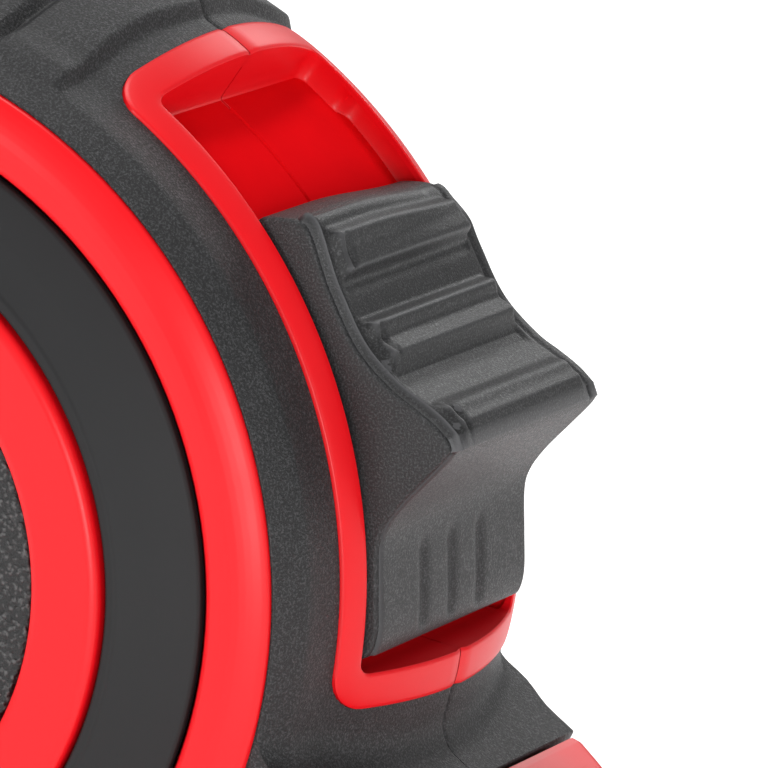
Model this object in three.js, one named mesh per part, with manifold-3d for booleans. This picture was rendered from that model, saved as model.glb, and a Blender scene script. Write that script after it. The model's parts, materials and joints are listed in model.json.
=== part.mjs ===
// Chalk line reel: a geared, hand-wound reel of marking line in a case that also holds the chalk powder.
// Millimetres. The spool turns about the Y axis; +X points to the nose where the line comes out, +Z is up.
// Every outline is drawn round the spool axis, and the whole reel is lifted to stand on its base at the end.
import * as THREE from 'three';
import { mergeVertices } from 'three/addons/utils/BufferGeometryUtils.js';
import Module from 'manifold-3d';

const wasm = await Module();
wasm.setup();
const { Manifold, Mesh: RawMesh } = wasm;

// ---- driving dimensions -------------------------------------------------------------------------
const AXIS_HEIGHT = 43;        // spool axis above the base
const GAP = 0.3;               // clearance between neighbouring pieces
const ROUND = 40;              // facets round the large turned faces
const SMALL = 12;              // facets round pins, screws and bores
const SEAM = GAP / 2;          // half the parting gap between the two shells

const LEFT_FACE = -21.5;       // side wall of the left shell
const RIGHT_FACE = 17.5;       // side wall of the right shell
const WALL = 2.6;              // moulded wall thickness
const RIM_R = 38.2;            // shell radius under the rubber
const CHAMBER_R = 34.5;        // chalk chamber round the spool
const CHAMBER_LEFT = -19.5;
const CHAMBER_RIGHT = 5.6;

const CROWN_R = 44.1;          // rubber rim radius at the parting plane
const CROWN_FALL = 70;         // the rim falls by y * y / CROWN_FALL towards its sides
const GRIP_R = RIM_R + GAP;
const GRIP_START = -26;        // degrees round the rim, from the nose side over the top to the rear
const GRIP_END = 222;
const PAD_LIFT = 1;            // raised palm pads on the rubber

const SLOT = { from: -12, to: 57, open: -10, shut: 54, half: 14.65, inside: 12.45, floor: 39.7, lift: 0.3 };
const GUIDE = { to: 47.5, half: 13.6, top: 41.9 };
const SLIDER_HALF = 12.07;
const SLIDER_ENDS = [-9, 38.3];
const SLIDER_R = SLOT.floor + GAP;
const PAD_SKIN = 1.3;

const BRAKE_ANGLE = 22;        // the shoe moves along this radius
const BRAKE_RISE = 4.584;      // mm of shoe lift for each radian of slider travel
const BRAKE = { inner: 33.4, top: 37.1, topAngle: 14, half: 5, y: [0.6, 3.9], lift: 1.2 };

const DOOR = { from: 120, to: 149, half: 8.5, inner: 41, outer: 44.2 };
const FRAME = { from: 117, to: 156, half: 11, r: 44, floor: 39.6 };
const HINGE = { angle: 152.5, r: 41.9, pin: 1, barrel: 1.8, half: 5.5 };

const SPOOL = { r: 33, hub: 9, left: -18.4, right: 3.6, flange: 1.8, bore: 3.2 };
const PACK_R = 26;
const AXLE_R = 2.5;
const BUSH = { inner: 2.8, outer: 5, seat: 5.3, length: 2.4 };

const MODULE = 0.8;
const TEETH = { sun: 12, planet: 24, ring: 60 };
const PRESSURE = THREE.MathUtils.degToRad(25);
const BACKLASH = 0.2;
const ADDENDUM = 0.68;         // tooth height above and below the pitch circle, in modules
const DEDENDUM = 1.15;
const GEAR_Y = [5.9, 8.9];
const PLANETS = 3;
const CARRIER_R = MODULE * (TEETH.sun + TEETH.planet) / 2;

const DISH = { r: 30, floor: 12.4 };
const HUB = { r: 10.5, top: 17, shaft: 5.9 };
const ARM = { pivotZ: 9, pivotY: 21.9, knobZ: -22, half: 2.9, y: [20.4, 23.4] };
const KNOB_R = 5.5;

const LINE_R = 0.5;
const OUTLET_Z = -37.6;        // height of the line's outlet below the spool axis
const NOSE_X = 76;
const BASE_Z = -42.2;          // moulded underside; the rubber foot stands below it

// ---- shape helpers ------------------------------------------------------------------------------
const rad = THREE.MathUtils.degToRad;
const polar = (r, deg) => [r * Math.cos(rad(deg)), r * Math.sin(rad(deg))];
const crown = (y) => CROWN_R - (y * y) / CROWN_FALL;

function arc(r, from, to, step = 6) {
  const count = Math.max(1, Math.ceil(Math.abs(to - from) / step));
  return Array.from({ length: count + 1 }, (_, i) => polar(r, from + ((to - from) * i) / count));
}

function toSolid(geometry) {
  const bare = geometry.clone();
  bare.deleteAttribute('normal');
  bare.deleteAttribute('uv');
  const merged = mergeVertices(bare, 1e-4);
  const index = merged.index.array;
  const kept = [];
  for (let i = 0; i < index.length; i += 3) {
    const [a, b, c] = [index[i], index[i + 1], index[i + 2]];
    if (a !== b && b !== c && c !== a) kept.push(a, b, c);
  }
  const build = (tris) => new Manifold(new RawMesh({
    numProp: 3,
    vertProperties: Float32Array.from(merged.attributes.position.array),
    triVerts: Uint32Array.from(tris),
  }));
  const solid = build(kept);
  return solid.volume() > 0 ? solid : build(kept.reverse());
}

// An outline in the X-Z plane, extruded along Y.
function prism(points, y0, y1) {
  const shape = new THREE.Shape(points.map(([x, z]) => new THREE.Vector2(x, z)));
  const geometry = new THREE.ExtrudeGeometry(shape, { depth: y1 - y0, bevelEnabled: false, steps: 1 });
  geometry.rotateX(Math.PI / 2);
  geometry.translate(0, y1, 0);
  return toSolid(geometry);
}

// A plan outline in the X-Y plane, extruded along Z.
function column(points, z0, z1) {
  const shape = new THREE.Shape(points.map(([x, y]) => new THREE.Vector2(x, y)));
  const geometry = new THREE.ExtrudeGeometry(shape, { depth: z1 - z0, bevelEnabled: false, steps: 1 });
  geometry.translate(0, 0, z0);
  return toSolid(geometry);
}

// A profile of [radius, y] pairs turned about the spool axis.
function turned(profile, segments = ROUND) {
  const points = profile.map(([r, y]) => new THREE.Vector2(r, y));
  const onAxis = profile[0][0] === 0 && profile.at(-1)[0] === 0;
  if (!onAxis) points.push(points[0].clone());
  return toSolid(new THREE.LatheGeometry(points, segments));
}

const disc = (r, y0, y1, segments = ROUND) => turned([[0, y0], [r, y0], [r, y1], [0, y1]], segments);

// A turned piece whose own axis is parallel to the spool's, at [x, z].
const turnedAt = ([x, z], profile, segments = SMALL) => turned(profile, segments).translate([x, 0, z]);

// A turned piece on the line's outlet axis: the profile's second number runs along X.
function turnedOnOutlet(profile, segments = SMALL) {
  return turned(profile, segments).rotate([0, 0, -90]).translate([0, 0, OUTLET_Z]);
}

function sector(r0, r1, from, to, y0, y1, step = 6) {
  return prism([...arc(r0, from, to, step), ...arc(r1, to, from, step)], y0, y1);
}

function box(x0, x1, y0, y1, z0, z1) {
  const geometry = new THREE.BoxGeometry(x1 - x0, y1 - y0, z1 - z0);
  geometry.translate((x0 + x1) / 2, (y0 + y1) / 2, (z0 + z1) / 2);
  return toSolid(geometry);
}

function rod(start, end, r, segments = 8) {
  const a = new THREE.Vector3(...start);
  const b = new THREE.Vector3(...end);
  const geometry = new THREE.CylinderGeometry(r, r, a.distanceTo(b), segments);
  const direction = b.clone().sub(a).normalize();
  geometry.applyQuaternion(new THREE.Quaternion().setFromUnitVectors(new THREE.Vector3(0, 1, 0), direction));
  const middle = a.add(b).multiplyScalar(0.5);
  geometry.translate(middle.x, middle.y, middle.z);
  return toSolid(geometry);
}

const join = (...solids) => solids.reduce((a, b) => a.add(b));
const cut = (solid, ...tools) => tools.reduce((a, b) => a.subtract(b), solid);
const overlap = (a, b) => a.intersect(b);

// Moves each side of a closed outline outwards by d (inwards when d is negative).
function offset(points, d) {
  const area = points.reduce((sum, [x, y], i) => {
    const [u, v] = points[(i + 1) % points.length];
    return sum + x * v - u * y;
  }, 0);
  const side = area > 0 ? 1 : -1;
  const normal = ([x, y], [u, v]) => {
    const length = Math.hypot(u - x, v - y);
    return [(side * (v - y)) / length, (-side * (u - x)) / length];
  };
  return points.map((p, i) => {
    const before = normal(points.at(i - 1), p);
    const after = normal(p, points[(i + 1) % points.length]);
    const scale = d / (1 + before[0] * after[0] + before[1] * after[1]);
    return [p[0] + (before[0] + after[0]) * scale, p[1] + (before[1] + after[1]) * scale];
  });
}

// ---- outlines shared by several pieces ----------------------------------------------------------
// Lower case: from inside the round body, down the neck, along the sloping nose and back under the base.
const NECK_TOP = [[37, -11.46], [44.9, -17.3]];
const NECK_END = [43.71, -18.91];
const LOWER_CASE = [
  [30, -8.8], [38.7, -15.2], [44, -19.12], [45.2, -17.52], [56, -25.5], [66, -30.3], [NOSE_X, -33],
  [NOSE_X, -40.2], [74, BASE_Z], [-24, BASE_Z], [-29, -37], [-31.6, -29], [-18, -18],
];
const LOWER_PLAN = [
  [-45, -20.5], [46, -20.5], [58, -15.5], [68, -10], [NOSE_X, -8],
  [NOSE_X, 8], [68, 9], [58, 12.5], [46, 16.5], [-45, 16.5],
];
const HOLLOW_END_X = 59.4;
const FOOT = { x: [-20, 44], y: [-15, 12], z: [-43, -41.6] };

const THUMB_PROFILE = [
  [33.1, 26.1], [35.5, 24.3], [37.4, 23.6], [39.3, 20.3], [40.9, 16.9], [42.4, 15.5], [44.2, 14],
  [45.8, 13.2], [47.9, 11.8], [49.1, 10], [46.7, 7.5], [44.4, 5.3], [43.2, 3.6], [42.9, 2.3],
  [42.9, -4], [41.9, -6.4],
];
const SLIDER_OUTLINE = [...THUMB_PROFILE, ...arc(SLIDER_R, ...SLIDER_ENDS)];
const SLIDER_DEEP = [...THUMB_PROFILE, ...arc(SLIDER_R - 8, ...SLIDER_ENDS)];

// Case screws: where each one stands, and the level of its head below the right side wall.
const SCREWS = [
  { at: polar(37.2, 84), top: 17 },
  { at: polar(37.2, 170), top: 17 },
  { at: [-22, -36.3], top: 16 },
  { at: [36, -23.5], top: 16 },
  { at: [54, -30.5], top: 12 },
];
const SCREW = { shank: 1.1, head: 2, tip: -9, headHeight: 1.7, boss: 3 };

const lowerCase = (inset, y0, y1) => overlap(
  prism(offset(LOWER_CASE, -inset), y0, y1),
  column(offset(LOWER_PLAN, -inset), -60, 0),
);

// ---- case shells --------------------------------------------------------------------------------
const crownSolid = (half, lift) => turned([
  [0, -half], ...[-1, -0.8, -0.4, 0.4, 0.8, 1].map((k) => [crown(k * half) + lift, k * half]),
  [0, half],
]);

function slotRim() {
  return overlap(sector(36, 46, SLOT.from, SLOT.to, -SLOT.half, SLOT.half), crownSolid(SLOT.half, SLOT.lift));
}

const slotPocket = () => join(
  sector(SLOT.floor, 50, SLOT.open, SLOT.shut, -SLOT.inside, SLOT.inside),
  sector(SLOT.floor, GUIDE.top, SLOT.open, GUIDE.to, -GUIDE.half, GUIDE.half),
);

const doorFrame = () => sector(36, FRAME.r, FRAME.from, FRAME.to, -FRAME.half, FRAME.half);

function doorRecess() {
  const half = DOOR.half + GAP;
  const hingePoint = polar(HINGE.r, HINGE.angle);
  return join(
    sector(FRAME.floor, 50, DOOR.from - 0.5, FRAME.to - 0.7, -half, half),
    sector(33, 41, DOOR.from + 4, DOOR.to - 5, -7, SPOOL.right),
    disc(HINGE.pin + GAP, -FRAME.half + 0.4, FRAME.half - 0.4, 12).translate([hingePoint[0], 0, hingePoint[1]]),
  );
}

const noseSeats = () => join(
  box(59.1, 65.7, -4.8, 4.8, OUTLET_Z - 3, OUTLET_Z + 3),
  box(65.4, NOSE_X + 2, -6.3, 6.3, OUTLET_Z - 3.6, OUTLET_Z + 3.6),
);

const footSeat = () => box(
  FOOT.x[0] - GAP, FOOT.x[1] + GAP, FOOT.y[0] - GAP, FOOT.y[1] + GAP, -60, FOOT.z[1] + GAP,
);

const screwPosts = (y0, y1, r) => join(...SCREWS.map(({ at }) => (
  turnedAt(at, [[0, y0], [r, y0], [r, y1], [0, y1]])
)));

// The posts that the screws stand in, no wider than the case where they are.
const screwBosses = (y0, y1) => overlap(
  screwPosts(y0, y1, SCREW.boss),
  join(lowerCase(0, LEFT_FACE, RIGHT_FACE), disc(40.4, LEFT_FACE, RIGHT_FACE)),
);

const headSeats = () => join(...SCREWS.map(({ at, top }) => {
  const seat = top - SCREW.headHeight - GAP;
  const r = SCREW.head + GAP;
  return turnedAt(at, [[0, seat], [r, seat], [r, 40], [0, 40]]);
}));

function leftShell() {
  const y1 = -SEAM;
  const flange = turned([
    [34.1, -21], [34.1, -22.4], [35.2, -22.7], [37.3, -22.3], [38.9, -21.55], [38.9, -20.8], [37, -20.8],
  ]);
  const hollow = join(disc(CHAMBER_R, CHAMBER_LEFT, 5), overlap(
    lowerCase(WALL, CHAMBER_LEFT + 1.5, 5),
    box(-60, HOLLOW_END_X, -40, 40, -60, 0),
  ));
  const outside = join(disc(RIM_R, LEFT_FACE, y1), flange, lowerCase(0, LEFT_FACE, y1), slotRim(), doorFrame());
  const shell = join(cut(outside, hollow), screwBosses(CHAMBER_LEFT - 0.5, y1));
  const detentSeat = sector(38.8, 40, -7.3, 7.3, -9.3, -4.7);
  return cut(
    overlap(shell, box(-60, 90, -40, y1, -60, 60)),
    slotPocket(), doorRecess(), noseSeats(), footSeat(), detentSeat,
    screwPosts(SCREW.tip - 1, 2, SCREW.shank + GAP),
    disc(AXLE_R + GAP, -30, -10, SMALL),
    disc(SPOOL.r + 0.6, CHAMBER_LEFT + 1, 5),
  );
}

function rightShell() {
  const y0 = SEAM;
  const guard = turned([[31, 16], [35, 16], [35, 18.4], [34.2, 19.4], [31.8, 19.4], [31, 18.6]]);
  const hollow = join(disc(CHAMBER_R, -5, CHAMBER_RIGHT), cut(
    overlap(lowerCase(WALL, -5, 14), box(-60, HOLLOW_END_X, -40, 40, -60, 0)),
    disc(36.8, CHAMBER_RIGHT, 40),
  ));
  const outside = join(
    disc(RIM_R, y0, RIGHT_FACE), guard, lowerCase(0, y0, RIGHT_FACE), slotRim(), doorFrame(),
  );
  const bosses = join(cut(outside, hollow), screwBosses(y0, RIGHT_FACE - 0.4));
  const ringGearSeat = disc(27.8, 0, 10.8);
  const shoeSeat = overlap(
    prism(brakeOutline(GAP + 0.1, BRAKE.lift + GAP, 2), BRAKE.y[0] - GAP, BRAKE.y[1] + GAP),
    sector(30, 38.8, 5, 40, 0, 6),
  );
  const tongueSlit = sector(37.5, 41, 11.4, 32, BRAKE.y[0] - 0.1, BRAKE.y[1] + 0.1, 4);
  return cut(
    overlap(bosses, box(-60, 90, y0, 40, -60, 60)),
    slotPocket(), doorRecess(), noseSeats(), footSeat(), ringGearSeat,
    disc(DISH.r, DISH.floor, 40), disc(HUB.shaft + 0.4, 5, 20, 2 * SMALL),
    screwPosts(-5, 40, SCREW.shank + GAP), headSeats(),
    disc(SPOOL.r + 0.6, -5, SPOOL.right + 0.4), shoeSeat, tongueSlit,
  );
}

// ---- rubber grips -------------------------------------------------------------------------------
function grip(side) {
  const edge = side < 0
    ? [[40.4, -19.2], [39.5, -21.4], [39.2, -21.4], [39.2, -20.5], [GRIP_R, -20.5]]
    : [[39.3, 16.9], [39, 17.3], [GRIP_R, 17.3]];
  const face = [0, 6, 12, SLOT.half].map((y) => side * Math.max(y, SEAM));
  const rim = turned([[GRIP_R, side * SEAM], ...face.map((y) => [crown(y), y]), ...edge]);
  const padEdge = side * (side < 0 ? 18.6 : 15.6);
  const pad = turned([
    [41, side * SEAM], ...face.map((y) => [crown(y) + PAD_LIFT, y]), [40.4, padEdge], [40, side * 12],
  ]);
  const wedge = (from, to) => sector(30, 60, from, to, -30, 30);
  const palm = join(overlap(pad, wedge(60, 69)), overlap(pad, wedge(71, 109)), overlap(pad, wedge(160, 214)));
  const neckSpan = side < 0 ? [-20.2, -SEAM] : [SEAM, 16.2];
  const neck = prism([...NECK_TOP, NECK_END, [33, -11]], ...neckSpan);
  return cut(
    join(overlap(rim, wedge(GRIP_START, GRIP_END)), palm, neck),
    disc(GRIP_R, -20.5, 30),
    prism(offset(LOWER_CASE, GAP), -30, 30),
    sector(30, 60, SLOT.from - 0.4, SLOT.to + 0.4, -SLOT.half - GAP, SLOT.half + GAP),
    sector(30, 60, FRAME.from - 0.4, FRAME.to + 0.4, -FRAME.half - GAP, FRAME.half + GAP),
    screwPosts(-30, 30, SCREW.boss + GAP),
    sector(30, 60, SLOT.from - 0.4, -20, -SLOT.half - GAP, SLOT.half + GAP).subtract(disc(50, -40, 40)),
  );
}

// ---- side cover ---------------------------------------------------------------------------------
const sideCover = () => turned([
  [0, -21.8], [33.8, -21.8], [33.8, -22.6], [28.2, -25.05], [27.3, -25.3], [27.3, -23], [0, -23],
]);
const coverRing = () => turned([
  [21.4, -23.3], [27, -23.3], [27, -25.5], [26.6, -26], [22, -26], [21.4, -25.6],
]);
const badgeDisc = () => disc(21.1, -25, -23.3);

// ---- thumb lock and brake -----------------------------------------------------------------------
function lockSlider() {
  const sheet = (points) => prism(points, -SLIDER_HALF, SLIDER_HALF);
  const core = cut(sheet(offset(SLIDER_DEEP, -PAD_SKIN - GAP)), disc(SLIDER_R + 0.1, -20, 20));
  const foot = overlap(sheet(SLIDER_OUTLINE), disc(41.3, -20, 20));
  const flange = sector(SLIDER_R, GUIDE.top - GAP, -8.5, 31, -GUIDE.half + GAP, GUIDE.half - GAP, 4);
  const tongue = sector(37.6, 40.6, 12, 16, BRAKE.y[0] + 0.2, BRAKE.y[1] - 0.2, 2);
  return join(core, foot, flange, tongue);
}

function thumbPad() {
  const sheet = (points) => prism(points, -SLIDER_HALF, SLIDER_HALF);
  const skin = cut(sheet(SLIDER_OUTLINE), sheet(offset(SLIDER_DEEP, -PAD_SKIN)), disc(41.6, -20, 20));
  const flangeRoom = sector(39, GUIDE.top, -9, 31.5, -20, 20, 4);
  const bar = (deg, r) => turnedAt(polar(r, deg), [[0, -8], [0.9, -8], [0.9, 8], [0, 8]], 10);
  return join(cut(skin, flangeRoom), bar(30.5, 43.9), bar(24, 44.1), bar(15, 48.2));
}

function brakeOutline(side, above, below) {
  const half = BRAKE.half + side;
  const at = (r, k) => BRAKE_ANGLE + THREE.MathUtils.radToDeg(Math.asin((k * half) / r));
  const ramp = (deg) => BRAKE.top + above - BRAKE_RISE * rad(deg - BRAKE.topAngle);
  const steps = [-1, -0.5, 0, 0.5, 1];
  return [
    ...steps.map((k) => polar(BRAKE.inner - below, at(BRAKE.inner - below, k))),
    ...steps.map((k) => polar(ramp(at(36.5, -k)), at(36.5, -k))),
  ];
}

const brakeShoe = () => prism(brakeOutline(0, 0, 0), ...BRAKE.y);
const detentSpring = () => sector(39.1, 39.6, -7, 7, -9, -5, 3.5);

// ---- spool, line and bearings -------------------------------------------------------------------
const spool = () => turned([
  [SPOOL.bore, -15.5], [BUSH.seat, -15.5], [BUSH.seat, SPOOL.left], [6.8, SPOOL.left], [6.8, -16.3],
  [SPOOL.hub, -16.3], [SPOOL.hub, SPOOL.right - SPOOL.flange], [SPOOL.r, SPOOL.right - SPOOL.flange],
  [SPOOL.r, SPOOL.right], [BUSH.seat, SPOOL.right], [BUSH.seat, 0.8], [SPOOL.bore, 0.8],
]);
const spoolFlange = () => turned([
  [7.1, SPOOL.left], [SPOOL.r, SPOOL.left], [SPOOL.r, -16.6], [7.1, -16.6],
]);
const linePack = () => turned([[9.3, -16.2], [PACK_R, -16.2], [PACK_R, 1.5], [9.3, 1.5]]);
const bush = (y) => turned([[BUSH.inner, y], [BUSH.outer, y], [BUSH.outer, y + BUSH.length],
  [BUSH.inner, y + BUSH.length]], 2 * SMALL);
const axle = () => disc(AXLE_R, -21.4, 8.9, SMALL);

// ---- planetary drive ----------------------------------------------------------------------------
const involute = (angle) => Math.tan(angle) - angle;

// Half the angle that a tooth of an external gear fills at radius r, widened by grow at the pitch circle.
function halfTooth(teeth, r, grow) {
  const pitch = (MODULE * teeth) / 2;
  const base = pitch * Math.cos(PRESSURE);
  const at = r > base ? Math.acos(base / r) : 0;
  return Math.PI / (2 * teeth) + grow / (2 * pitch) + involute(PRESSURE) - involute(at);
}

// The outline of teeth standing outwards from root to tip, with a tooth centred on angle zero plus phase.
function toothed(teeth, root, tip, grow, phase) {
  const points = [];
  const flank = teeth < 20 ? [root, (MODULE * teeth) / 2, tip] : [root, tip];
  for (let i = 0; i < teeth; i += 1) {
    const centre = phase + (2 * Math.PI * i) / teeth;
    const put = (r, sign) => {
      const angle = centre + sign * halfTooth(teeth, r, grow);
      points.push([r * Math.cos(angle), r * Math.sin(angle)]);
    };
    flank.forEach((r) => put(r, -1));
    flank.toReversed().forEach((r) => put(r, 1));
  }
  return points;
}

function gear(teeth, phase, boreR) {
  const pitch = (MODULE * teeth) / 2;
  const outline = toothed(teeth, pitch - DEDENDUM * MODULE, pitch + ADDENDUM * MODULE, -BACKLASH, phase);
  return cut(prism(outline, ...GEAR_Y), disc(boreR, 0, 20, SMALL));
}

const sunGear = () => join(
  gear(TEETH.sun, Math.PI / TEETH.sun, BUSH.inner),
  turned([[BUSH.inner, SPOOL.right + GAP], [4.4, SPOOL.right + GAP], [4.4, GEAR_Y[0] - GAP],
    [3.7, GEAR_Y[0] - GAP], [3.7, 6], [BUSH.inner, 6]], 2 * SMALL),
);

function ringGear() {
  const pitch = (MODULE * TEETH.ring) / 2;
  const inside = toothed(TEETH.ring, pitch - ADDENDUM * MODULE, pitch + DEDENDUM * MODULE, BACKLASH, 0);
  return cut(disc(27.5, GEAR_Y[0] - 0.1, GEAR_Y[1] + 0.1), prism(inside, 0, 20));
}

const planetAngle = (i) => (360 * i) / PLANETS;
const planetCentre = (i) => polar(CARRIER_R, planetAngle(i));

function planetGear(i) {
  const [x, z] = planetCentre(i);
  return gear(TEETH.planet, 0, 2.2).rotate([0, -planetAngle(i), 0]).translate([x, 0, z]);
}

const planetPin = (i) => turnedAt(planetCentre(i), [[0, 5.95], [1.9, 5.95], [1.9, 10.3], [0, 10.3]]);
const planetCarrier = () => cut(
  disc(18.5, 9.3, 10.4), disc(1.9, 0, 20, SMALL),
  ...Array.from({ length: PLANETS }, (_, i) => turnedAt(planetCentre(i), [[0, 0], [2.2, 0], [2.2, 20], [0, 20]])),
);
const gearPlate = () => turned([[6.5, 4.25], [34.2, 4.25], [34.2, 5.3], [6.5, 5.3]]);
const shaftSeal = () => turned([[4.75, 4.35], [6.2, 4.35], [6.2, 5.2], [4.75, 5.2]], 2 * SMALL);

// ---- folding crank ------------------------------------------------------------------------------
function alongX(z, y, r, x0, x1, segments = SMALL) {
  return rod([x0, y, z], [x1, y, z], r, segments);
}

function crankHub() {
  const ear = (x0, x1) => join(
    box(x0, x1, 15, ARM.pivotY, ARM.pivotZ - 2.6, ARM.pivotZ + 2.6),
    alongX(ARM.pivotZ, ARM.pivotY, 2.6, x0, x1),
  );
  const body = join(
    turned([[0, 10.7], [HUB.shaft, 10.7], [HUB.shaft, DISH.floor + 0.4], [HUB.r, DISH.floor + 0.4],
      [HUB.r, HUB.top - 0.8], [HUB.r - 0.8, HUB.top], [0, HUB.top]], 2 * SMALL),
    ear(-5.4, -3.3), ear(3.3, 5.4),
  );
  return cut(body, disc(1.9, 0, 30, SMALL), alongX(ARM.pivotZ, ARM.pivotY, 1.5, -10, 10));
}

const armPin = () => alongX(ARM.pivotZ, ARM.pivotY, 1.2, -5.4, 5.4);
const hubScrew = () => cut(
  turned([[0, 9.3], [1.6, 9.3], [1.6, HUB.top + GAP], [3.4, HUB.top + GAP], [3.4, 18.6], [3, 19], [0, 19]], SMALL),
  disc(1.4, 18, 20, 6),
);

function crankArm() {
  const [y0, y1] = ARM.y;
  const bar = box(-ARM.half, ARM.half, y0, y1, ARM.knobZ, ARM.pivotZ);
  const end = turnedAt([0, ARM.knobZ], [[0, y0], [5.2, y0], [5.2, y1 - 0.5], [4.7, y1], [0, y1]]);
  const root = alongX(ARM.pivotZ, ARM.pivotY, 2, -ARM.half, ARM.half);
  const fingerDip = turnedAt([0, -9], [[0, y1 - 0.8], [2.2, y1 - 0.8], [2.6, y1 + 1], [0, y1 + 1]]);
  return cut(
    join(bar, end, root), alongX(ARM.pivotZ, ARM.pivotY, 1.5, -10, 10), fingerDip,
    turnedAt([0, ARM.knobZ], [[0, 0], [1.7, 0], [1.7, 40], [0, 40]]),
  );
}

const crankKnob = () => turnedAt([0, ARM.knobZ], [
  [1.7, 20.1], [KNOB_R - 0.6, 20.1], [KNOB_R, 19.4], [4.9, 16.5], [KNOB_R, 13.8], [KNOB_R - 0.7, 13.1],
  [2.9, 13.1], [2.9, 14.6], [1.7, 14.6],
], 24);
const knobPin = () => turnedAt([0, ARM.knobZ], [
  [0, 13.3], [2.6, 13.3], [2.6, 14.3], [1.4, 14.3], [1.4, 23.7], [2.6, 23.7], [2.2, 24.5], [0, 24.5],
]);

// ---- filler door --------------------------------------------------------------------------------
function fillDoor() {
  const hingePoint = polar(HINGE.r, HINGE.angle);
  const barrel = disc(HINGE.barrel, -HINGE.half, HINGE.half, SMALL).translate([hingePoint[0], 0, hingePoint[1]]);
  const leaf = sector(DOOR.inner, DOOR.outer, DOOR.from, DOOR.to, -DOOR.half, DOOR.half);
  const strap = sector(41.2, 42.9, DOOR.to - 1, HINGE.angle, -HINGE.half, HINGE.half, 2);
  const nailLip = sector(43.9, DOOR.outer + 0.6, DOOR.from + 1, DOOR.from + 3, -5, 5, 2);
  const bore = disc(HINGE.pin + GAP, -20, 20, 12).translate([hingePoint[0], 0, hingePoint[1]]);
  return cut(join(leaf, strap, barrel, nailLip), bore);
}

function doorHingePin() {
  const hingePoint = polar(HINGE.r, HINGE.angle);
  return disc(HINGE.pin, -FRAME.half + 0.7, FRAME.half - 0.7, 12).translate([hingePoint[0], 0, hingePoint[1]]);
}

const doorGasket = () => cut(
  sector(39.9, 40.7, DOOR.from + 0.3, DOOR.to - 0.5, -DOOR.half, DOOR.half, 4),
  sector(39, 42, DOOR.from + 3.6, DOOR.to - 4.6, -7.3, 7.3, 4),
);

// ---- nose, line and hook ------------------------------------------------------------------------
const noseBlock = () => cut(
  box(65.7, NOSE_X, -6, 6, OUTLET_Z - 3.3, OUTLET_Z + 3.3),
  turnedOnOutlet([[0, 60], [2.2, 60], [2.2, 80], [0, 80]]),
);
const lineEyelet = () => turnedOnOutlet([
  [1, 67], [1.9, 67], [1.9, NOSE_X + GAP], [2.9, NOSE_X + GAP], [2.9, NOSE_X + 0.9], [2.4, NOSE_X + 1.2],
  [1.4, NOSE_X + 1.2], [1, NOSE_X + 0.9],
]);
const feltWiper = () => cut(
  box(HOLLOW_END_X, 65.4, -4.5, 4.5, OUTLET_Z - 2.7, OUTLET_Z + 2.7),
  turnedOnOutlet([[0, 50], [0.8, 50], [0.8, 70], [0, 70]]),
);

const HOOK_X = NOSE_X + 1.6;
function hookPlate() {
  const plate = column([[HOOK_X, -5.5], [HOOK_X + 1.2, -5.5], [HOOK_X + 1.2, 5.5], [HOOK_X, 5.5]],
    OUTLET_Z - 3.4, OUTLET_Z + 7.6);
  const claw = box(HOOK_X, HOOK_X + 5, -5.5, 5.5, OUTLET_Z - 4.6, OUTLET_Z - 3.4);
  const eye = turnedOnOutlet([[0, 70], [0.8, 70], [0.8, 90], [0, 90]]);
  const pinSlot = box(HOOK_X - 1, HOOK_X + 3, -1.2, 1.2, OUTLET_Z + 2.8, OUTLET_Z + 5.6);
  return cut(join(plate, claw), eye, pinSlot);
}

const hookFerrule = () => turnedOnOutlet([
  [0.8, HOOK_X + 1.5], [1.5, HOOK_X + 1.5], [1.6, HOOK_X + 3], [1.2, HOOK_X + 4.4], [0, HOOK_X + 4.4],
  [0, HOOK_X + 3.6], [0.8, HOOK_X + 3.6],
]);
const LEAD_END = [41.5, 0, OUTLET_Z];

// The line leaves the underside of the wound pack along its tangent.
function lineLead() {
  const r = PACK_R + 0.8;
  const bearing = Math.atan2(LEAD_END[2], LEAD_END[0]);
  const angle = bearing - Math.acos(r / Math.hypot(LEAD_END[0], LEAD_END[2]));
  return rod([r * Math.cos(angle), -7.4, r * Math.sin(angle)], LEAD_END, LINE_R);
}
const linePull = () => rod([LEAD_END[0] + 0.6, 0, OUTLET_Z], [HOOK_X + 3.3, 0, OUTLET_Z], LINE_R);

// ---- fasteners and foot -------------------------------------------------------------------------
const caseScrew = ({ at, top }) => cut(
  turnedAt(at, [[0, SCREW.tip], [SCREW.shank, SCREW.tip + 1], [SCREW.shank, top - SCREW.headHeight],
    [SCREW.head, top - SCREW.headHeight], [SCREW.head, top - 0.4], [1.5, top], [0, top]]),
  turnedAt(at, [[0, top - 1], [0.9, top - 1], [0.9, 30], [0, 30]], 6),
);
const basePad = () => box(...FOOT.x, ...FOOT.y, ...FOOT.z);

// ---- materials ----------------------------------------------------------------------------------
const finish = (color, roughness, metalness = 0) => new THREE.MeshStandardMaterial({ color, roughness, metalness });
const FINISH = {
  redPlastic: finish(0xe0202a, 0.32),
  rubber: finish(0x3a3a3b, 0.75),
  blackPlastic: finish(0x2e2e2f, 0.45),
  steel: finish(0xb4b6ba, 0.3, 1),
  brass: finish(0xc09a4a, 0.35, 1),
  nylon: finish(0xe6e2d6, 0.5),
  felt: finish(0xd8d4c8, 0.95),
  line: finish(0xdfe6f2, 0.9),
};

// ---- assembly -----------------------------------------------------------------------------------
const reel = new THREE.Group();
reel.position.z = AXIS_HEIGHT;

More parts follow.
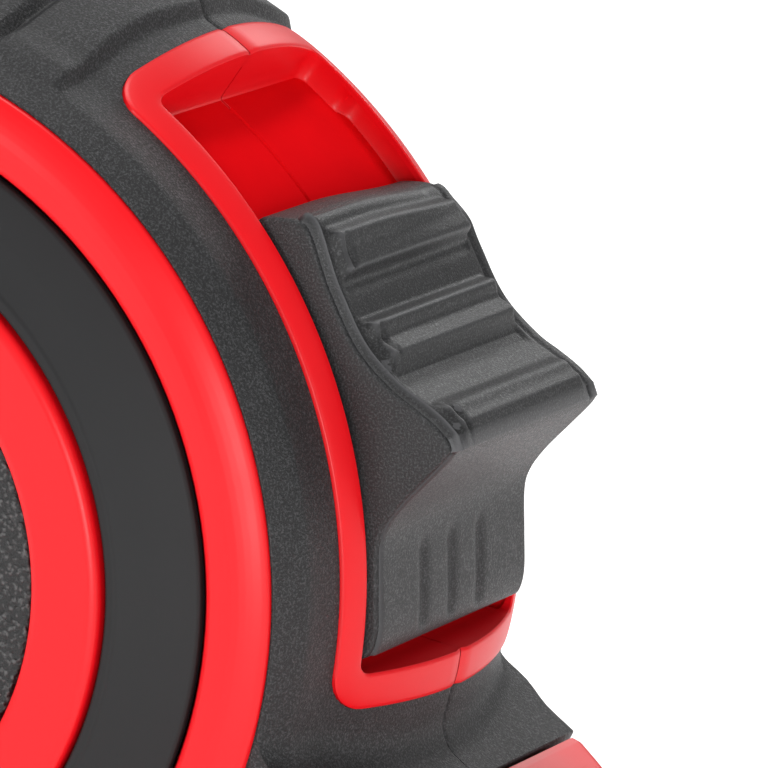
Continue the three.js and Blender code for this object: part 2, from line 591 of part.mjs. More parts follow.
function place(name, solid, material) {
  const raw = solid.getMesh();
  const geometry = new THREE.BufferGeometry();
  geometry.setAttribute('position', new THREE.BufferAttribute(raw.vertProperties, 3));
  geometry.setIndex(new THREE.BufferAttribute(raw.triVerts, 1));
  geometry.computeVertexNormals();
  const mesh = new THREE.Mesh(geometry, material);
  mesh.name = name;
  reel.add(mesh);
}

place('left_shell', leftShell(), FINISH.redPlastic);
place('right_shell', rightShell(), FINISH.redPlastic);
place('left_grip', grip(-1), FINISH.rubber);
place('right_grip', grip(1), FINISH.rubber);
place('base_pad', basePad(), FINISH.rubber);
place('side_cover', sideCover(), FINISH.blackPlastic);
place('cover_ring', coverRing(), FINISH.redPlastic);
place('badge_disc', badgeDisc(), FINISH.rubber);

place('lock_slider', lockSlider(), FINISH.blackPlastic);
place('thumb_pad', thumbPad(), FINISH.rubber);
place('brake_shoe', brakeShoe(), FINISH.nylon);
place('detent_spring', detentSpring(), FINISH.steel);

place('spool', spool(), FINISH.nylon);
place('spool_flange', spoolFlange(), FINISH.nylon);
place('line_pack', linePack(), FINISH.line);
place('left_bush', bush(-18.3), FINISH.brass);
place('right_bush', bush(1.1), FINISH.brass);
place('axle', axle(), FINISH.steel);

place('gear_plate', gearPlate(), FINISH.blackPlastic);
place('shaft_seal', shaftSeal(), FINISH.felt);
place('sun_gear', sunGear(), FINISH.brass);
place('ring_gear', ringGear(), FINISH.nylon);
place('planet_carrier', planetCarrier(), FINISH.steel);
for (let i = 0; i < PLANETS; i += 1) {
  place(`planet_gear_${i + 1}`, planetGear(i), FINISH.nylon);
  place(`planet_pin_${i + 1}`, planetPin(i), FINISH.steel);
}

place('crank_hub', crankHub(), FINISH.blackPlastic);
place('hub_screw', hubScrew(), FINISH.steel);
place('arm_pin', armPin(), FINISH.steel);
place('crank_arm', crankArm(), FINISH.steel);
place('crank_knob', crankKnob(), FINISH.blackPlastic);
place('knob_pin', knobPin(), FINISH.steel);

place('fill_door', fillDoor(), FINISH.blackPlastic);
place('door_hinge_pin', doorHingePin(), FINISH.steel);
place('door_gasket', doorGasket(), FINISH.felt);

place('nose_block', noseBlock(), FINISH.blackPlastic);
place('line_eyelet', lineEyelet(), FINISH.steel);
place('felt_wiper', feltWiper(), FINISH.felt);
place('line_lead', lineLead(), FINISH.line);
place('line_pull', linePull(), FINISH.line);
place('hook_plate', hookPlate(), FINISH.steel);
place('hook_ferrule', hookFerrule(), FINISH.brass);

SCREWS.forEach((screw, i) => place(`case_screw_${i + 1}`, caseScrew(screw), FINISH.steel));

export default reel;
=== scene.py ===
"""Looks of a geared chalk line reel, built round its packed mechanical model.

Lengths are millimetres round the spool axis: X runs forward to the nose, Y to the crank side and Z up.
A form is lifted to the spool axis and turned into metres when it becomes an object.
"""

import json
import logging
import math
from dataclasses import dataclass, field
from enum import Enum
from typing import Callable, Sequence

import bmesh
import bpy
import numpy as np
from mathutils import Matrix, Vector


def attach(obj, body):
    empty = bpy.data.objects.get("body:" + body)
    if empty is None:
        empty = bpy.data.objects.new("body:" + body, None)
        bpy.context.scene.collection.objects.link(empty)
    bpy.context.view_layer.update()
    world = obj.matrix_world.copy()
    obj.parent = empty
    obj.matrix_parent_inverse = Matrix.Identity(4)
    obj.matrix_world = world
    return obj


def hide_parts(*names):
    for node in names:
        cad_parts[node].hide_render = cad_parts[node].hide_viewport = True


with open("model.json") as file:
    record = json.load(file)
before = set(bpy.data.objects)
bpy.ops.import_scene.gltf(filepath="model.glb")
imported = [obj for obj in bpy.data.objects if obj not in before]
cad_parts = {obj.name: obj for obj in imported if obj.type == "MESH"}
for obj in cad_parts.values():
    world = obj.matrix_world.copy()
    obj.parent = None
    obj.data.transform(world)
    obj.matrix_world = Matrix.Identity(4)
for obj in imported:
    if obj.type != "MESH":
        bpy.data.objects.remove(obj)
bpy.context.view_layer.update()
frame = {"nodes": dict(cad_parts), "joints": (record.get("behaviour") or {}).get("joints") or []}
LOG = logging.getLogger("chalk_line_reel")

MM = 0.001
AXIS = Vector(next(j["pos_m"] for j in frame["joints"] if j["name"] == "spool_spin"))
FINE = 160
SEAM = 0.05

Point2 = tuple[float, float]
Point3 = tuple[float, float, float]


class Side(Enum):
    """The two halves of the case, by the sign of Y."""

    LEFT = -1
    RIGHT = 1


# ---- outlines -----------------------------------------------------------------------------------
def polar(r: float, degrees: float) -> Point2:
    """A point at radius r and an angle from +X towards +Z."""
    return r * math.cos(math.radians(degrees)), r * math.sin(math.radians(degrees))


def round_angles(count: int) -> np.ndarray:
    """Angles of a full turn in radians, one to a row."""
    return np.linspace(0, 2 * np.pi, count, endpoint=False)[:, None]


def smooth(low: float, high: float, value: np.ndarray | float) -> np.ndarray:
    """A soft step from 0 at low to 1 at high."""
    t = np.clip((np.asarray(value, float) - low) / (high - low), 0, 1)
    return t * t * (3 - 2 * t)


def bell(distance: np.ndarray | float, width: float) -> np.ndarray:
    """A soft bump: 1 at no distance, fading over a width."""
    return np.exp(-((np.asarray(distance, float) / width) ** 2))


def soften(points: Sequence[Point2], radius: float, steps: int = 4, closed: bool = True) -> list[Point2]:
    """Rounds the corners of an outline.

    Args:
        points: the outline's corners in order.
        radius: how far from a corner its rounding starts.
        steps: pieces in each rounding.
        closed: whether the last point joins the first.

    Returns:
        The rounded outline. Corners on a turning axis stay as they are.
    """
    out: list[Point2] = []
    count = len(points)
    for i, corner in enumerate(points):
        p = np.array(corner, float)
        on_axis = abs(p[0]) < 1e-9
        if on_axis or (not closed and i in (0, count - 1)):
            out.append((float(p[0]), float(p[1])))
            continue
        a = np.array(points[i - 1], float) - p
        b = np.array(points[(i + 1) % count], float) - p
        la, lb = np.linalg.norm(a), np.linalg.norm(b)
        reach = min(radius, 0.45 * la, 0.45 * lb)
        start, end = p + a / la * reach, p + b / lb * reach
        for k in range(steps + 1):
            t = k / steps
            q = (1 - t) ** 2 * start + 2 * t * (1 - t) * p + t * t * end
            out.append((float(q[0]), float(q[1])))
    return out


def inset(points: Sequence[Point2], distance: float) -> np.ndarray:
    """Moves each side of a closed outline inwards by a distance (outwards when negative)."""
    p = np.array(points, float)
    following = np.roll(p, -1, axis=0)
    area = np.sum(p[:, 0] * following[:, 1] - p[:, 1] * following[:, 0])
    edge = following - p
    edge /= np.maximum(np.linalg.norm(edge, axis=1, keepdims=True), 1e-9)
    normal = np.sign(area) * np.stack([-edge[:, 1], edge[:, 0]], axis=1)
    before = np.roll(normal, 1, axis=0)
    scale = distance / np.maximum(1 + np.sum(before * normal, axis=1, keepdims=True), 0.3)
    return p + (before + normal) * scale


def resample(points: Sequence[Point2], step: float) -> np.ndarray:
    """Runs a smooth line through points and cuts it into pieces of about one step."""
    p = np.array(points, float)
    ends = np.vstack([2 * p[0] - p[1], p, 2 * p[-1] - p[-2]])
    fine = []
    for i in range(1, len(ends) - 2):
        a, b, c, d = ends[i - 1 : i + 3]
        t = np.linspace(0, 1, 12, endpoint=False)[:, None]
        bend = 2 * a - 5 * b + 4 * c - d
        turn = 3 * b - a - 3 * c + d
        fine.append(0.5 * (2 * b + (c - a) * t + bend * t**2 + turn * t**3))
    line = np.vstack([*fine, p[-1:]])
    length = np.concatenate([[0], np.cumsum(np.linalg.norm(np.diff(line, axis=0), axis=1))])
    at = np.linspace(0, length[-1], max(3, round(length[-1] / step)))
    return np.stack([np.interp(at, length, line[:, k]) for k in (0, 1)], axis=1)


# ---- forms --------------------------------------------------------------------------------------
class Form:
    """Closed surfaces in millimetres round the spool axis that become one mesh object."""

    def __init__(self) -> None:
        """Starts an empty form."""
        self.points: list[Point3] = []
        self.faces: list[tuple[int, ...]] = []

    def grid(self, rows: np.ndarray, around: bool = False, along: bool = False) -> "Form":
        """Adds a surface through rows of points.

        Args:
            rows: the points, by row and column.
            around: whether each row is a closed loop.
            along: whether the last row joins the first.

        Returns:
            The form itself.
        """
        rows = np.asarray(rows, float)
        n, m = rows.shape[:2]
        start = len(self.points)
        self.points.extend(map(tuple, rows.reshape(-1, 3)))
        for i in range(n if along else n - 1):
            for j in range(m if around else m - 1):
                u, v = (i + 1) % n, (j + 1) % m
                corners = (i * m + j, u * m + j, u * m + v, i * m + v)
                self.faces.append(tuple(start + c for c in corners))
        return self

    def stack(self, rings: np.ndarray) -> "Form":
        """Adds closed rings one on another, with a cap on the first and the last."""
        start = len(self.points)
        self.grid(rings, around=True)
        n, m = np.asarray(rings).shape[:2]
        self.faces.append(tuple(start + j for j in range(m)))
        self.faces.append(tuple(start + (n - 1) * m + j for j in reversed(range(m))))
        return self

    def strip(self, rows: Sequence[np.ndarray]) -> "Form":
        """Adds a closed band of rows, with a cap on each of its ends."""
        count, total = len(rows[0]), len(rows)
        self.grid(np.array(rows), along=True)
        self.faces.append(tuple(i * count for i in range(total)))
        self.faces.append(tuple(i * count + count - 1 for i in reversed(range(total))))
        return self

    def join(self, other: "Form") -> None:
        """Adds another form's surfaces to this one."""
        start = len(self.points)
        self.points.extend(other.points)
        self.faces.extend(tuple(start + i for i in face) for face in other.faces)

    def turned(self, profile: Sequence[Point2], at: Point2 = (0, 0), round_by: float = 0.25,
               segments: int = FINE) -> "Form":
        """Adds a piece turned about an axis along Y.

        Args:
            profile: radius and Y of each corner.
            at: X and Z of the axis.
            round_by: how far each corner is rounded.
            segments: facets round the piece.

        Returns:
            The form itself.
        """
        line = np.array(soften(profile, round_by))
        turn = round_angles(segments)
        r, y = line[None, :, 0], line[None, :, 1] + 0 * turn
        rows = np.stack([at[0] + r * np.cos(turn), y, at[1] + r * np.sin(turn)], axis=2)
        return self.grid(rows, around=True, along=True)

    def turned_on_outlet(self, profile: Sequence[Point2], round_by: float = 0.15,
                         segments: int = 64) -> "Form":
        """Adds a piece turned about the line's outlet: the profile is radius and X."""
        line = np.array(soften(profile, round_by))
        turn = round_angles(segments)
        r, x = line[None, :, 0], line[None, :, 1] + 0 * turn
        rows = np.stack([x, r * np.cos(turn), Case.OUTLET_Z + r * np.sin(turn)], axis=2)
        return self.grid(rows, around=True, along=True)

    def plate(self, outline: Sequence[Point2], y: Point2, bevel: float = 0.3, corner: float = 0.3,
              place: Callable[[np.ndarray, np.ndarray], np.ndarray] | None = None) -> "Form":
        """Adds a flat piece with rounded edges.

        Args:
            outline: its X and Z corners.
            y: where it starts and ends along Y.
            bevel: size of the rounding at its edges.
            corner: size of the rounding at its outline's corners.
            place: turns outline points and heights into points; X, Y, Z when left out.

        Returns:
            The form itself.
        """
        line = soften(outline, corner)
        low, high = y
        quarter = [bevel * (1 - math.sin(a)) for a in np.linspace(0, math.pi / 2, 4)]
        rise = [bevel * (1 - math.cos(a)) for a in np.linspace(0, math.pi / 2, 4)]
        levels = [(d, low + h) for d, h in zip(quarter, rise)]
        levels += [(d, high - h) for d, h in reversed(list(zip(quarter, rise)))]
        rings = []
        for depth, height in levels:
            flat = inset(line, depth)
            h = np.full(len(flat), height)
            rings.append(place(flat, h) if place else np.stack([flat[:, 0], h, flat[:, 1]], axis=1))
        return self.stack(np.array(rings))

    def mesh(self, name: str, sharp: float) -> bpy.types.Mesh:
        """Makes the mesh, in metres, with smooth faces and sharp edges above an angle in degrees."""
        lifted = [(x * MM + AXIS.x, y * MM + AXIS.y, z * MM + AXIS.z) for x, y, z in self.points]
        mesh = bpy.data.meshes.new(name)
        mesh.from_pydata(lifted, [], self.faces)
        tidy = bmesh.new()
        tidy.from_mesh(mesh)
        bmesh.ops.remove_doubles(tidy, verts=tidy.verts, dist=2e-7)
        bmesh.ops.recalc_face_normals(tidy, faces=tidy.faces)
        tidy.to_mesh(mesh)
        tidy.free()
        mesh.shade_smooth()
        mesh.set_sharp_from_angle(angle=math.radians(sharp))
        return mesh


def carve(piece: bpy.types.Object, cutters: Sequence[bpy.types.Object], sharp: float = 35,
          weld: bool = False) -> None:
    """Cuts closed pieces out of another for good, and removes them.

    Args:
        piece: the piece that is cut.
        cutters: the closed pieces that are taken out of it.
        sharp: edges above this angle in degrees stay sharp.
        weld: whether the piece's own overlapping parts are first made one.
    """
    for i, tool in enumerate(cutters):
        knife = piece.modifiers.new("cut", "BOOLEAN")
        knife.operation = "DIFFERENCE"
        knife.solver = "EXACT"
        knife.use_self = weld and i == 0
        knife.object = tool
    bpy.context.view_layer.update()
    result = piece.evaluated_get(bpy.context.evaluated_depsgraph_get())
    cut = bpy.data.meshes.new_from_object(result)
    piece.modifiers.clear()
    piece.data = cut
    cut.shade_smooth()
    cut.set_sharp_from_angle(angle=math.radians(sharp))
    for tool in cutters:
        bpy.data.objects.remove(tool)


# ---- shader maths -------------------------------------------------------------------------------
class Shade:
    """One output socket of a shader, so that sums on it add their own nodes."""

    def __init__(self, graph: "Graph", socket: bpy.types.NodeSocket) -> None:
        """Wraps a socket of a graph."""
        self.graph = graph
        self.socket = socket

    def _math(self, operation: str, *values: "Shade | float") -> "Shade":
        """Adds one Math node."""
        return self.graph.node("ShaderNodeMath", {"operation": operation}, dict(enumerate(values)))

    def __add__(self, other: "Shade | float") -> "Shade":
        """The sum."""
        return self._math("ADD", self, other)

    __radd__ = __add__

    def __mul__(self, other: "Shade | float") -> "Shade":
        """The product."""
        return self._math("MULTIPLY", self, other)

    __rmul__ = __mul__

    def __sub__(self, other: "Shade | float") -> "Shade":
        """The difference."""
        return self._math("SUBTRACT", self, other)

    def __rsub__(self, other: float) -> "Shade":
        """The difference from a number."""
        return self._math("SUBTRACT", other, self)

    def ramp(self, low: float, high: float) -> "Shade":
        """0 below low, 1 above high and straight between."""
        values = {"Value": self, "From Min": low, "From Max": high}
        return self.graph.node("ShaderNodeMapRange", {"clamp": True}, values)


class Graph:
    """The nodes of one material."""

    def __init__(self, name: str) -> None:
        """Makes a material with nothing but its surface shader and output."""
        self.material = bpy.data.materials.new(name)
        self.material.use_nodes = True
        self.tree = self.material.node_tree
        self.surface = self.tree.nodes["Principled BSDF"]
        self.place = self.node("ShaderNodeTexCoord", {}, {}, "Object")

    def node(self, kind: str, settings: dict, inputs: dict, output: str | int = 0) -> Shade:
        """Adds a node.

        Args:
            kind: the node's type.
            settings: its own settings, set before its sockets.
            inputs: socket names or numbers with values or links.
            output: the output that is used.

        Returns:
            That output.
        """
        made = self.tree.nodes.new(kind)
        for key, value in settings.items():
            setattr(made, key, value)
        for key, value in inputs.items():
            self.feed(made.inputs[key], value)
        return Shade(self, made.outputs[output])

    def feed(self, socket: bpy.types.NodeSocket, value: "Shade | float | Sequence[float]") -> None:
        """Links a value to a socket, or sets it."""
        if isinstance(value, Shade):
            self.tree.links.new(value.socket, socket)
        else:
            socket.default_value = value

    def set(self, **sockets: "Shade | float | Sequence[float]") -> None:
        """Feeds the surface shader; an underscore in a name stands for a space."""
        for name, value in sockets.items():
            self.feed(self.surface.inputs[name.replace("_", " ")], value)

    def noise(self, size: float, detail: float = 2.0, rough: float = 0.5) -> Shade:
        """Soft noise whose blots are about size millimetres across."""
        values = {"Vector": self.place, "Scale": 1 / (size * MM), "Detail": detail, "Roughness": rough}
        return self.node("ShaderNodeTexNoise", {}, values)

    def cells(self, size: float, feature: str = "F1", output: str = "Distance") -> Shade:
        """Cell noise whose cells are about size millimetres across."""
        values = {"Vector": self.place, "Scale": 1 / (size * MM)}
        return self.node("ShaderNodeTexVoronoi", {"feature": feature}, values, output)

    def mix(self, factor: Shade, a: "Shade | Sequence[float]", b: Sequence[float]) -> Shade:
        """A colour between two, of which the first may be worked out."""
        return self.node("ShaderNodeMix", {"data_type": "RGBA"}, {0: factor, 6: a, 7: b}, 2)

    def bump(self, height: Shade, depth: float, strength: float = 1.0) -> None:
        """Raises the surface by a height of up to depth millimetres."""
        values = {"Height": height, "Distance": depth * MM, "Strength": strength}
        self.set(Normal=self.node("ShaderNodeBump", {}, values))


def linear(red: float, green: float, blue: float) -> tuple[float, float, float, float]:
    """Turns a colour of 0 to 255 into the shader's linear scale."""
    def channel(value: float) -> float:
        """One channel."""
        v = value / 255
        return v / 12.92 if v <= 0.04045 else ((v + 0.055) / 1.055) ** 2.4

    return channel(red), channel(green), channel(blue), 1.0


def scaled(colour: Sequence[float], share: float) -> tuple[float, float, float, float]:
    """A linear colour made lighter or darker by a share."""
    red, green, blue = (min(1.0, c * share) for c in colour[:3])
    return red, green, blue, 1.0


@dataclass(frozen=True)
class Finish:
    """A moulded or painted finish with a faint tone change and a fine surface.

    Sizes are millimetres; tone is how much lighter the light blots are.
    """

    name: str
    slot: str
    colour: tuple[float, float, float]
    roughness: float = 0.4
    metal: float = 0.0
    tone: float = 0.12
    blot: float = 3.0
    grain: float = 0.3
    depth: float = 0.01
    specular: float = 0.5

    def material(self) -> bpy.types.Material:
        """The material, made once."""
        found = bpy.data.materials.get(self.name)
        return found if found else self.build()

    def build(self) -> bpy.types.Material:
        """Makes the material.

        Returns:
            The new material.
        """
        g = Graph(self.name)
        base = linear(*self.colour)
        patches = g.noise(self.blot)
        g.set(Metallic=self.metal, Specular_IOR_Level=self.specular)
        g.set(Base_Color=g.mix(patches.ramp(0.35, 0.7), base, scaled(base, 1 + self.tone)))
        g.set(Roughness=self.roughness + (patches - 0.5) * 0.12)
        g.bump(g.noise(self.grain, 3), self.depth)
        return g.material


@dataclass(frozen=True)
class Rubber(Finish):
    """Spark-eroded rubber or plastic: a fine close grain whose tips catch the light.

    One setting gives how pale the tips are painted, as painted glints, and another how pale the raised
    edges are painted, as a painted highlight; the pits are painted darker, as painted shade.
    """

    # How pale the grain's tips are painted, as painted glints.
    painted_glint: float = 0.5
    # How pale the raised edges are painted, as a painted highlight.
    painted_edge_highlight: float = 0.0

    def build(self) -> bpy.types.Material:
        """Makes the material.

        Returns:
            The new material.
        """
        g = Graph(self.name)
        base = linear(*self.colour)
        # The pale colour is painted glints on the grain's tips; the darker colour is painted shade in its
        # pits.
        pale, pit_shade = scaled(base, 6), scaled(base, 0.6)
        grain = g.noise(self.grain, 2, 0.7)
        tips = grain.ramp(0.5, 0.66)
        pits = grain.ramp(0.36, 0.5)
        # Painted glints: the grain's tips are painted pale, standing in for the light they catch.
        painted_highlights = tips * self.painted_glint
        if self.painted_edge_highlight:
            # Painted highlight: convex edges, found by pointiness, are painted paler.
            edges = g.node("ShaderNodeNewGeometry", {}, {}, "Pointiness").ramp(0.51, 0.56)
            painted_highlights = g.node("ShaderNodeMath", {"operation": "MAXIMUM"}, {0: painted_highlights, 1: edges * self.painted_edge_highlight})
        g.set(Base_Color=g.mix(painted_highlights, g.mix(pits, pit_shade, base), pale))
        g.set(Roughness=self.roughness - tips * 0.15, Specular_IOR_Level=self.specular)
        g.bump(grain, self.depth, 0.9)
        return g.material


@dataclass(frozen=True)
class Leather(Finish):
    """A pressed leather grain: rounded pebbles between creases."""

    def build(self) -> bpy.types.Material:
        """Makes the material.

        Returns:
            The new material.
        """
        g = Graph(self.name)
        base = linear(*self.colour)
        pale = linear(*(c * 7 for c in self.colour[:1] * 3))
        pebbles = g.cells(self.grain, "SMOOTH_F1")
        wander = g.noise(self.grain * 0.45, 3)
        relief = (1 - pebbles) * 0.7 + wander * 0.5
        g.set(Base_Color=g.mix(relief.ramp(0.66, 0.86), base, pale))
        g.set(Roughness=self.roughness + (wander - 0.5) * 0.2, Specular_IOR_Level=self.specular)
        g.bump(relief, self.depth)
        return g.material


@dataclass(frozen=True)
class Brushed(Finish):
    """Metal with fine drawn scratches along X."""

    def build(self) -> bpy.types.Material:
        """Makes the material.

        Returns:
            The new material.
        """
        g = Graph(self.name)
        base = linear(*self.colour)
        settings = {"operation": "MULTIPLY"}
        drawn = g.node("ShaderNodeVectorMath", settings, {0: g.place, 1: (0.04, 1.0, 1.0)})
        values = {"Vector": drawn, "Scale": 1 / (self.grain * MM), "Detail": 3.0}
        scratches = g.node("ShaderNodeTexNoise", {}, values)
        g.set(Metallic=self.metal)
        g.set(Base_Color=g.mix(scratches.ramp(0.3, 0.7), base, scaled(base, 1 + self.tone)))
        g.set(Roughness=self.roughness + (scratches - 0.5) * 0.2)
        g.bump(scratches, self.depth)
        return g.material


@dataclass(frozen=True)
class Braid(Finish):
    """Braided line: strands that cross, dusted with chalk."""

    def build(self) -> bpy.types.Material:
        """Makes the material.

        Returns:
            The new material.
        """
        g = Graph(self.name)
        base = linear(*self.colour)
        chalk = linear(70, 110, 190)
        settings = {"wave_type": "BANDS", "bands_direction": "DIAGONAL"}
        values = {"Vector": g.place, "Scale": 1 / (self.grain * MM * 6), "Distortion": 1.5, "Detail": 2.0}
        strands = g.node("ShaderNodeTexWave", settings, values, 1)
        dust = g.noise(self.blot, 4)
        g.set(Base_Color=g.mix(dust.ramp(0.35, 0.75), base, chalk))
        g.set(Roughness=self.roughness)
        g.bump(strands, self.depth)
        return g.material


RED = Finish("red_moulding", "red_plastic", (234, 12, 24), roughness=0.37, tone=0.04,
             blot=9, grain=0.5, depth=0.004, specular=0.34)
DEEP_RED = Finish("red_slot_floor", "red_plastic", (230, 15, 22), roughness=0.8, tone=0.04, blot=6,
                  grain=0.4, depth=0.004, specular=0.0)
GRIP = Rubber("grip_rubber", "rubber", (32, 32, 33), roughness=0.54, grain=0.18, depth=0.11, blot=6,
              painted_glint=0.55, specular=0.45)
# The thumb pad's raised edges carry a painted highlight.
THUMB = Rubber("thumb_rubber", "rubber", (29, 29, 30), roughness=0.52, grain=0.17, depth=0.05, blot=5,
               painted_glint=0.55, specular=0.5, painted_edge_highlight=1.0)
BLACK = Rubber("grained_black", "black_plastic", (31, 31, 32), roughness=0.54, grain=0.17, depth=0.09,
               blot=6, painted_glint=0.5)
SATIN = Finish("satin_black", "black_plastic", (31, 31, 32), roughness=0.6, tone=0.12, blot=7,
               grain=0.22, depth=0.006, specular=0.3)
BADGE = Leather("badge_leather", "badge", (12, 12, 13), roughness=0.34, grain=0.42, depth=0.3)
STEEL = Brushed("drawn_steel", "steel", (182, 184, 188), roughness=0.32, metal=1, tone=0.12, grain=0.12,
                depth=0.003)
BRASS = Brushed("turned_brass", "brass", (200, 160, 84), roughness=0.34, metal=1, tone=0.14, grain=0.15,
                depth=0.003)
NYLON = Finish("ivory_nylon", "nylon", (222, 217, 203), roughness=0.48, tone=0.05, blot=4, grain=0.3,
               depth=0.006)
FELT = Rubber("wool_felt", "felt", (205, 200, 188), roughness=0.95, grain=0.3, depth=0.12, blot=2,
              painted_glint=0.2, specular=0.2)
LINE = Braid("braided_line", "line", (216, 222, 232), roughness=0.85, grain=0.12, depth=0.08, blot=0.8)


def shown(form: Form, name: str, body: str, finish: Finish, nodes: Sequence[str] = (),
          sharp: float = 35) -> bpy.types.Object:
    """Turns a form into a finished piece.

    Args:
        form: the surfaces.
        name: the piece's name.
        body: the CAD body that it rides on.
        finish: its finish.
        nodes: CAD nodes that it stands for.
        sharp: edges above this angle in degrees stay sharp.

    Returns:
        The object.
    """
    piece = bpy.data.objects.new(name, form.mesh(name, sharp))
    bpy.context.scene.collection.objects.link(piece)
    piece.data.materials.append(finish.material())
    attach(piece, body)
    if nodes:
        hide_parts(*nodes)
    LOG.info("%s: %d faces on %s", name, len(piece.data.polygons), body)
    return piece


def cutter(form: Form, name: str) -> bpy.types.Object:
    """A bare object to cut with."""
    tool = bpy.data.objects.new(name, form.mesh(name, 30))
    bpy.context.scene.collection.objects.link(tool)
    return tool


# ---- case ---------------------------------------------------------------------------------------
@dataclass
class Crown:
    """The rubber-covered rim: its radius falls towards the sides."""

    radius: float = 44.1
    fall: float = 70.0
    under: float = 38.5
    reach: Point2 = (36.0, 62.0)

    def at(self, y: np.ndarray | float) -> np.ndarray:
        """The rim's radius at a distance from the parting plane."""
        return self.radius - np.asarray(y, float) ** 2 / self.fall

    def wrap(self, s: np.ndarray, y: np.ndarray, r: np.ndarray) -> np.ndarray:
        """Points from an arc length at the crown, a Y and a radius."""
        turn = np.asarray(s, float) / self.radius
        return np.stack([r * np.cos(turn), y + 0 * turn, r * np.sin(turn)], axis=-1)

    def arc(self, degrees: float) -> float:
        """The arc length at the crown for an angle."""
        return math.radians(degrees) * self.radius

    def knife(self, loop: np.ndarray) -> "Form":
        """A block with an outline on the crown that reaches through the rim, for cutting it."""
        rings = [self.wrap(loop[:, 0], loop[:, 1], np.full(len(loop), r)) for r in self.reach]
        return Form().stack(np.array(rings))


@dataclass
class Slot:
    """The rounded opening that the thumb lock slides in, with its raised red rim."""

    crown: Crown = field(default_factory=Crown)
    outer: tuple[float, float, float, float] = (-13.7, 57.8, 14.65, 3.0)
    inner: tuple[float, float, float, float] = (-10.0, 54.0, 12.45, 1.1)
    floor: float = 39.7
    guide_top: float = 41.5
    guide_end: float = 47.5
    guide_share: float = 0.42
    lift: float = 0.3
    root: float = 37.0
    face: tuple[Point2, ...] = (
        (0, -0.35), (0, -0.1), (0.04, -0.03), (0.12, 0), (0.3, 0.02), (0.5, 0.03), (0.72, 0.02), (0.88, 0),
        (0.96, -0.05), (1, -0.18), (1, -0.5),
    )

    def loop(self, size: tuple[float, float, float, float], grow: float = 0.0, ends: int = 14,
             legs: int = 70, bend: int = 9) -> np.ndarray:
        """Half of a rounded rectangle on the crown, from the top's middle to the bottom's.

        Args:
            size: lowest and highest angle, half width and corner radius.
            grow: how far it is moved outwards.
            ends: points on each half end.
            legs: points on the long side.
            bend: points on each corner.

        Returns:
            Arc lengths and distances from the parting plane, which are positive.
        """
        low, high, half, corner = size
        s0, s1 = self.crown.arc(low) - grow, self.crown.arc(high) + grow
        half, corner = half + grow, corner + grow
        top = [(s1, y) for y in np.linspace(0, half - corner, ends, endpoint=False)]
        turn = np.linspace(0, math.pi / 2, bend)
        upper = [(s1 - corner + corner * math.cos(a), half - corner + corner * math.sin(a)) for a in turn]
        side = [(s, half) for s in np.linspace(s1 - corner, s0 + corner, legs)[1:-1]]
        lower = [(s0 + corner - corner * math.sin(a), half - corner + corner * math.cos(a)) for a in turn]
        bottom = [(s0, y) for y in np.linspace(half - corner, 0, ends + 1)[1:]]
        return np.array(top + upper + side + lower + bottom)

    def rim(self, side: Side) -> Form:
        """One half of the raised rim with the pocket's walls.

        Args:
            side: which half.

        Returns:
            The closed form.
        """
        outer, inner = self.loop(self.outer), self.loop(self.inner)
        angles = np.degrees(inner[:, 0] / self.crown.radius)
        guide = self.guide_share * (1 - smooth(self.guide_end - 1, self.guide_end + 1, angles))
        guide = guide * smooth(11.2, 12.3, inner[:, 1])
        rows = []

        def row(share: float | np.ndarray, radius: np.ndarray | float) -> None:
            """Adds one row of points along the half loop."""
            share = np.asarray(share, float).reshape(-1, 1)
            flat = outer * (1 - share) + inner * share
            y = np.maximum(flat[:, 1], SEAM) * side.value
            rows.append(self.crown.wrap(flat[:, 0], y, np.broadcast_to(radius, y.shape)))

        parting = 0.22 * np.exp(-((outer[:, 1] / 0.3) ** 2))
        row(0, self.root)
        for share, rise in self.face:
            flat = outer * (1 - share) + inner * share
            row(share, self.crown.at(flat[:, 1]) + self.lift + rise - parting)
        row(1, self.guide_top + 0.05)
        row(1 - guide, self.guide_top)
        row(1 - guide, self.floor + 0.2)
        row(1 - guide + 0.06, self.floor)
        row(1.4, self.floor - 0.02)
        row(1.4, self.root)
        return Form().grid(np.array(rows), along=True)

    def pocket(self, side: Side) -> Form:
        """One half of the pocket's floor.

        Args:
            side: which half.

        Returns:
            The closed form.
        """
        low, high = self.crown.arc(self.outer[0] + 0.6), self.crown.arc(self.outer[1] - 0.6)
        s = np.linspace(low, high, 90)
        under, half = self.floor - 0.8, self.inner[2] + 1.25
        rows = []
        for y, r in ((SEAM, under), (SEAM, self.floor - 0.25), (0.22, self.floor), (6, self.floor),
                     (half, self.floor), (half, under)):
            rows.append(self.crown.wrap(s, np.full(len(s), y * side.value), np.full(len(s), r)))
        return Form().grid(np.array(rows), along=True)

    def knife(self) -> Form:
        """A block the shape of the rim, for cutting the rubber round it."""
        half = self.loop(self.outer, 0.06, 8, 60, 8)
        return self.crown.knife(np.vstack([half, (half * (1, -1))[::-1][1:-1]]))


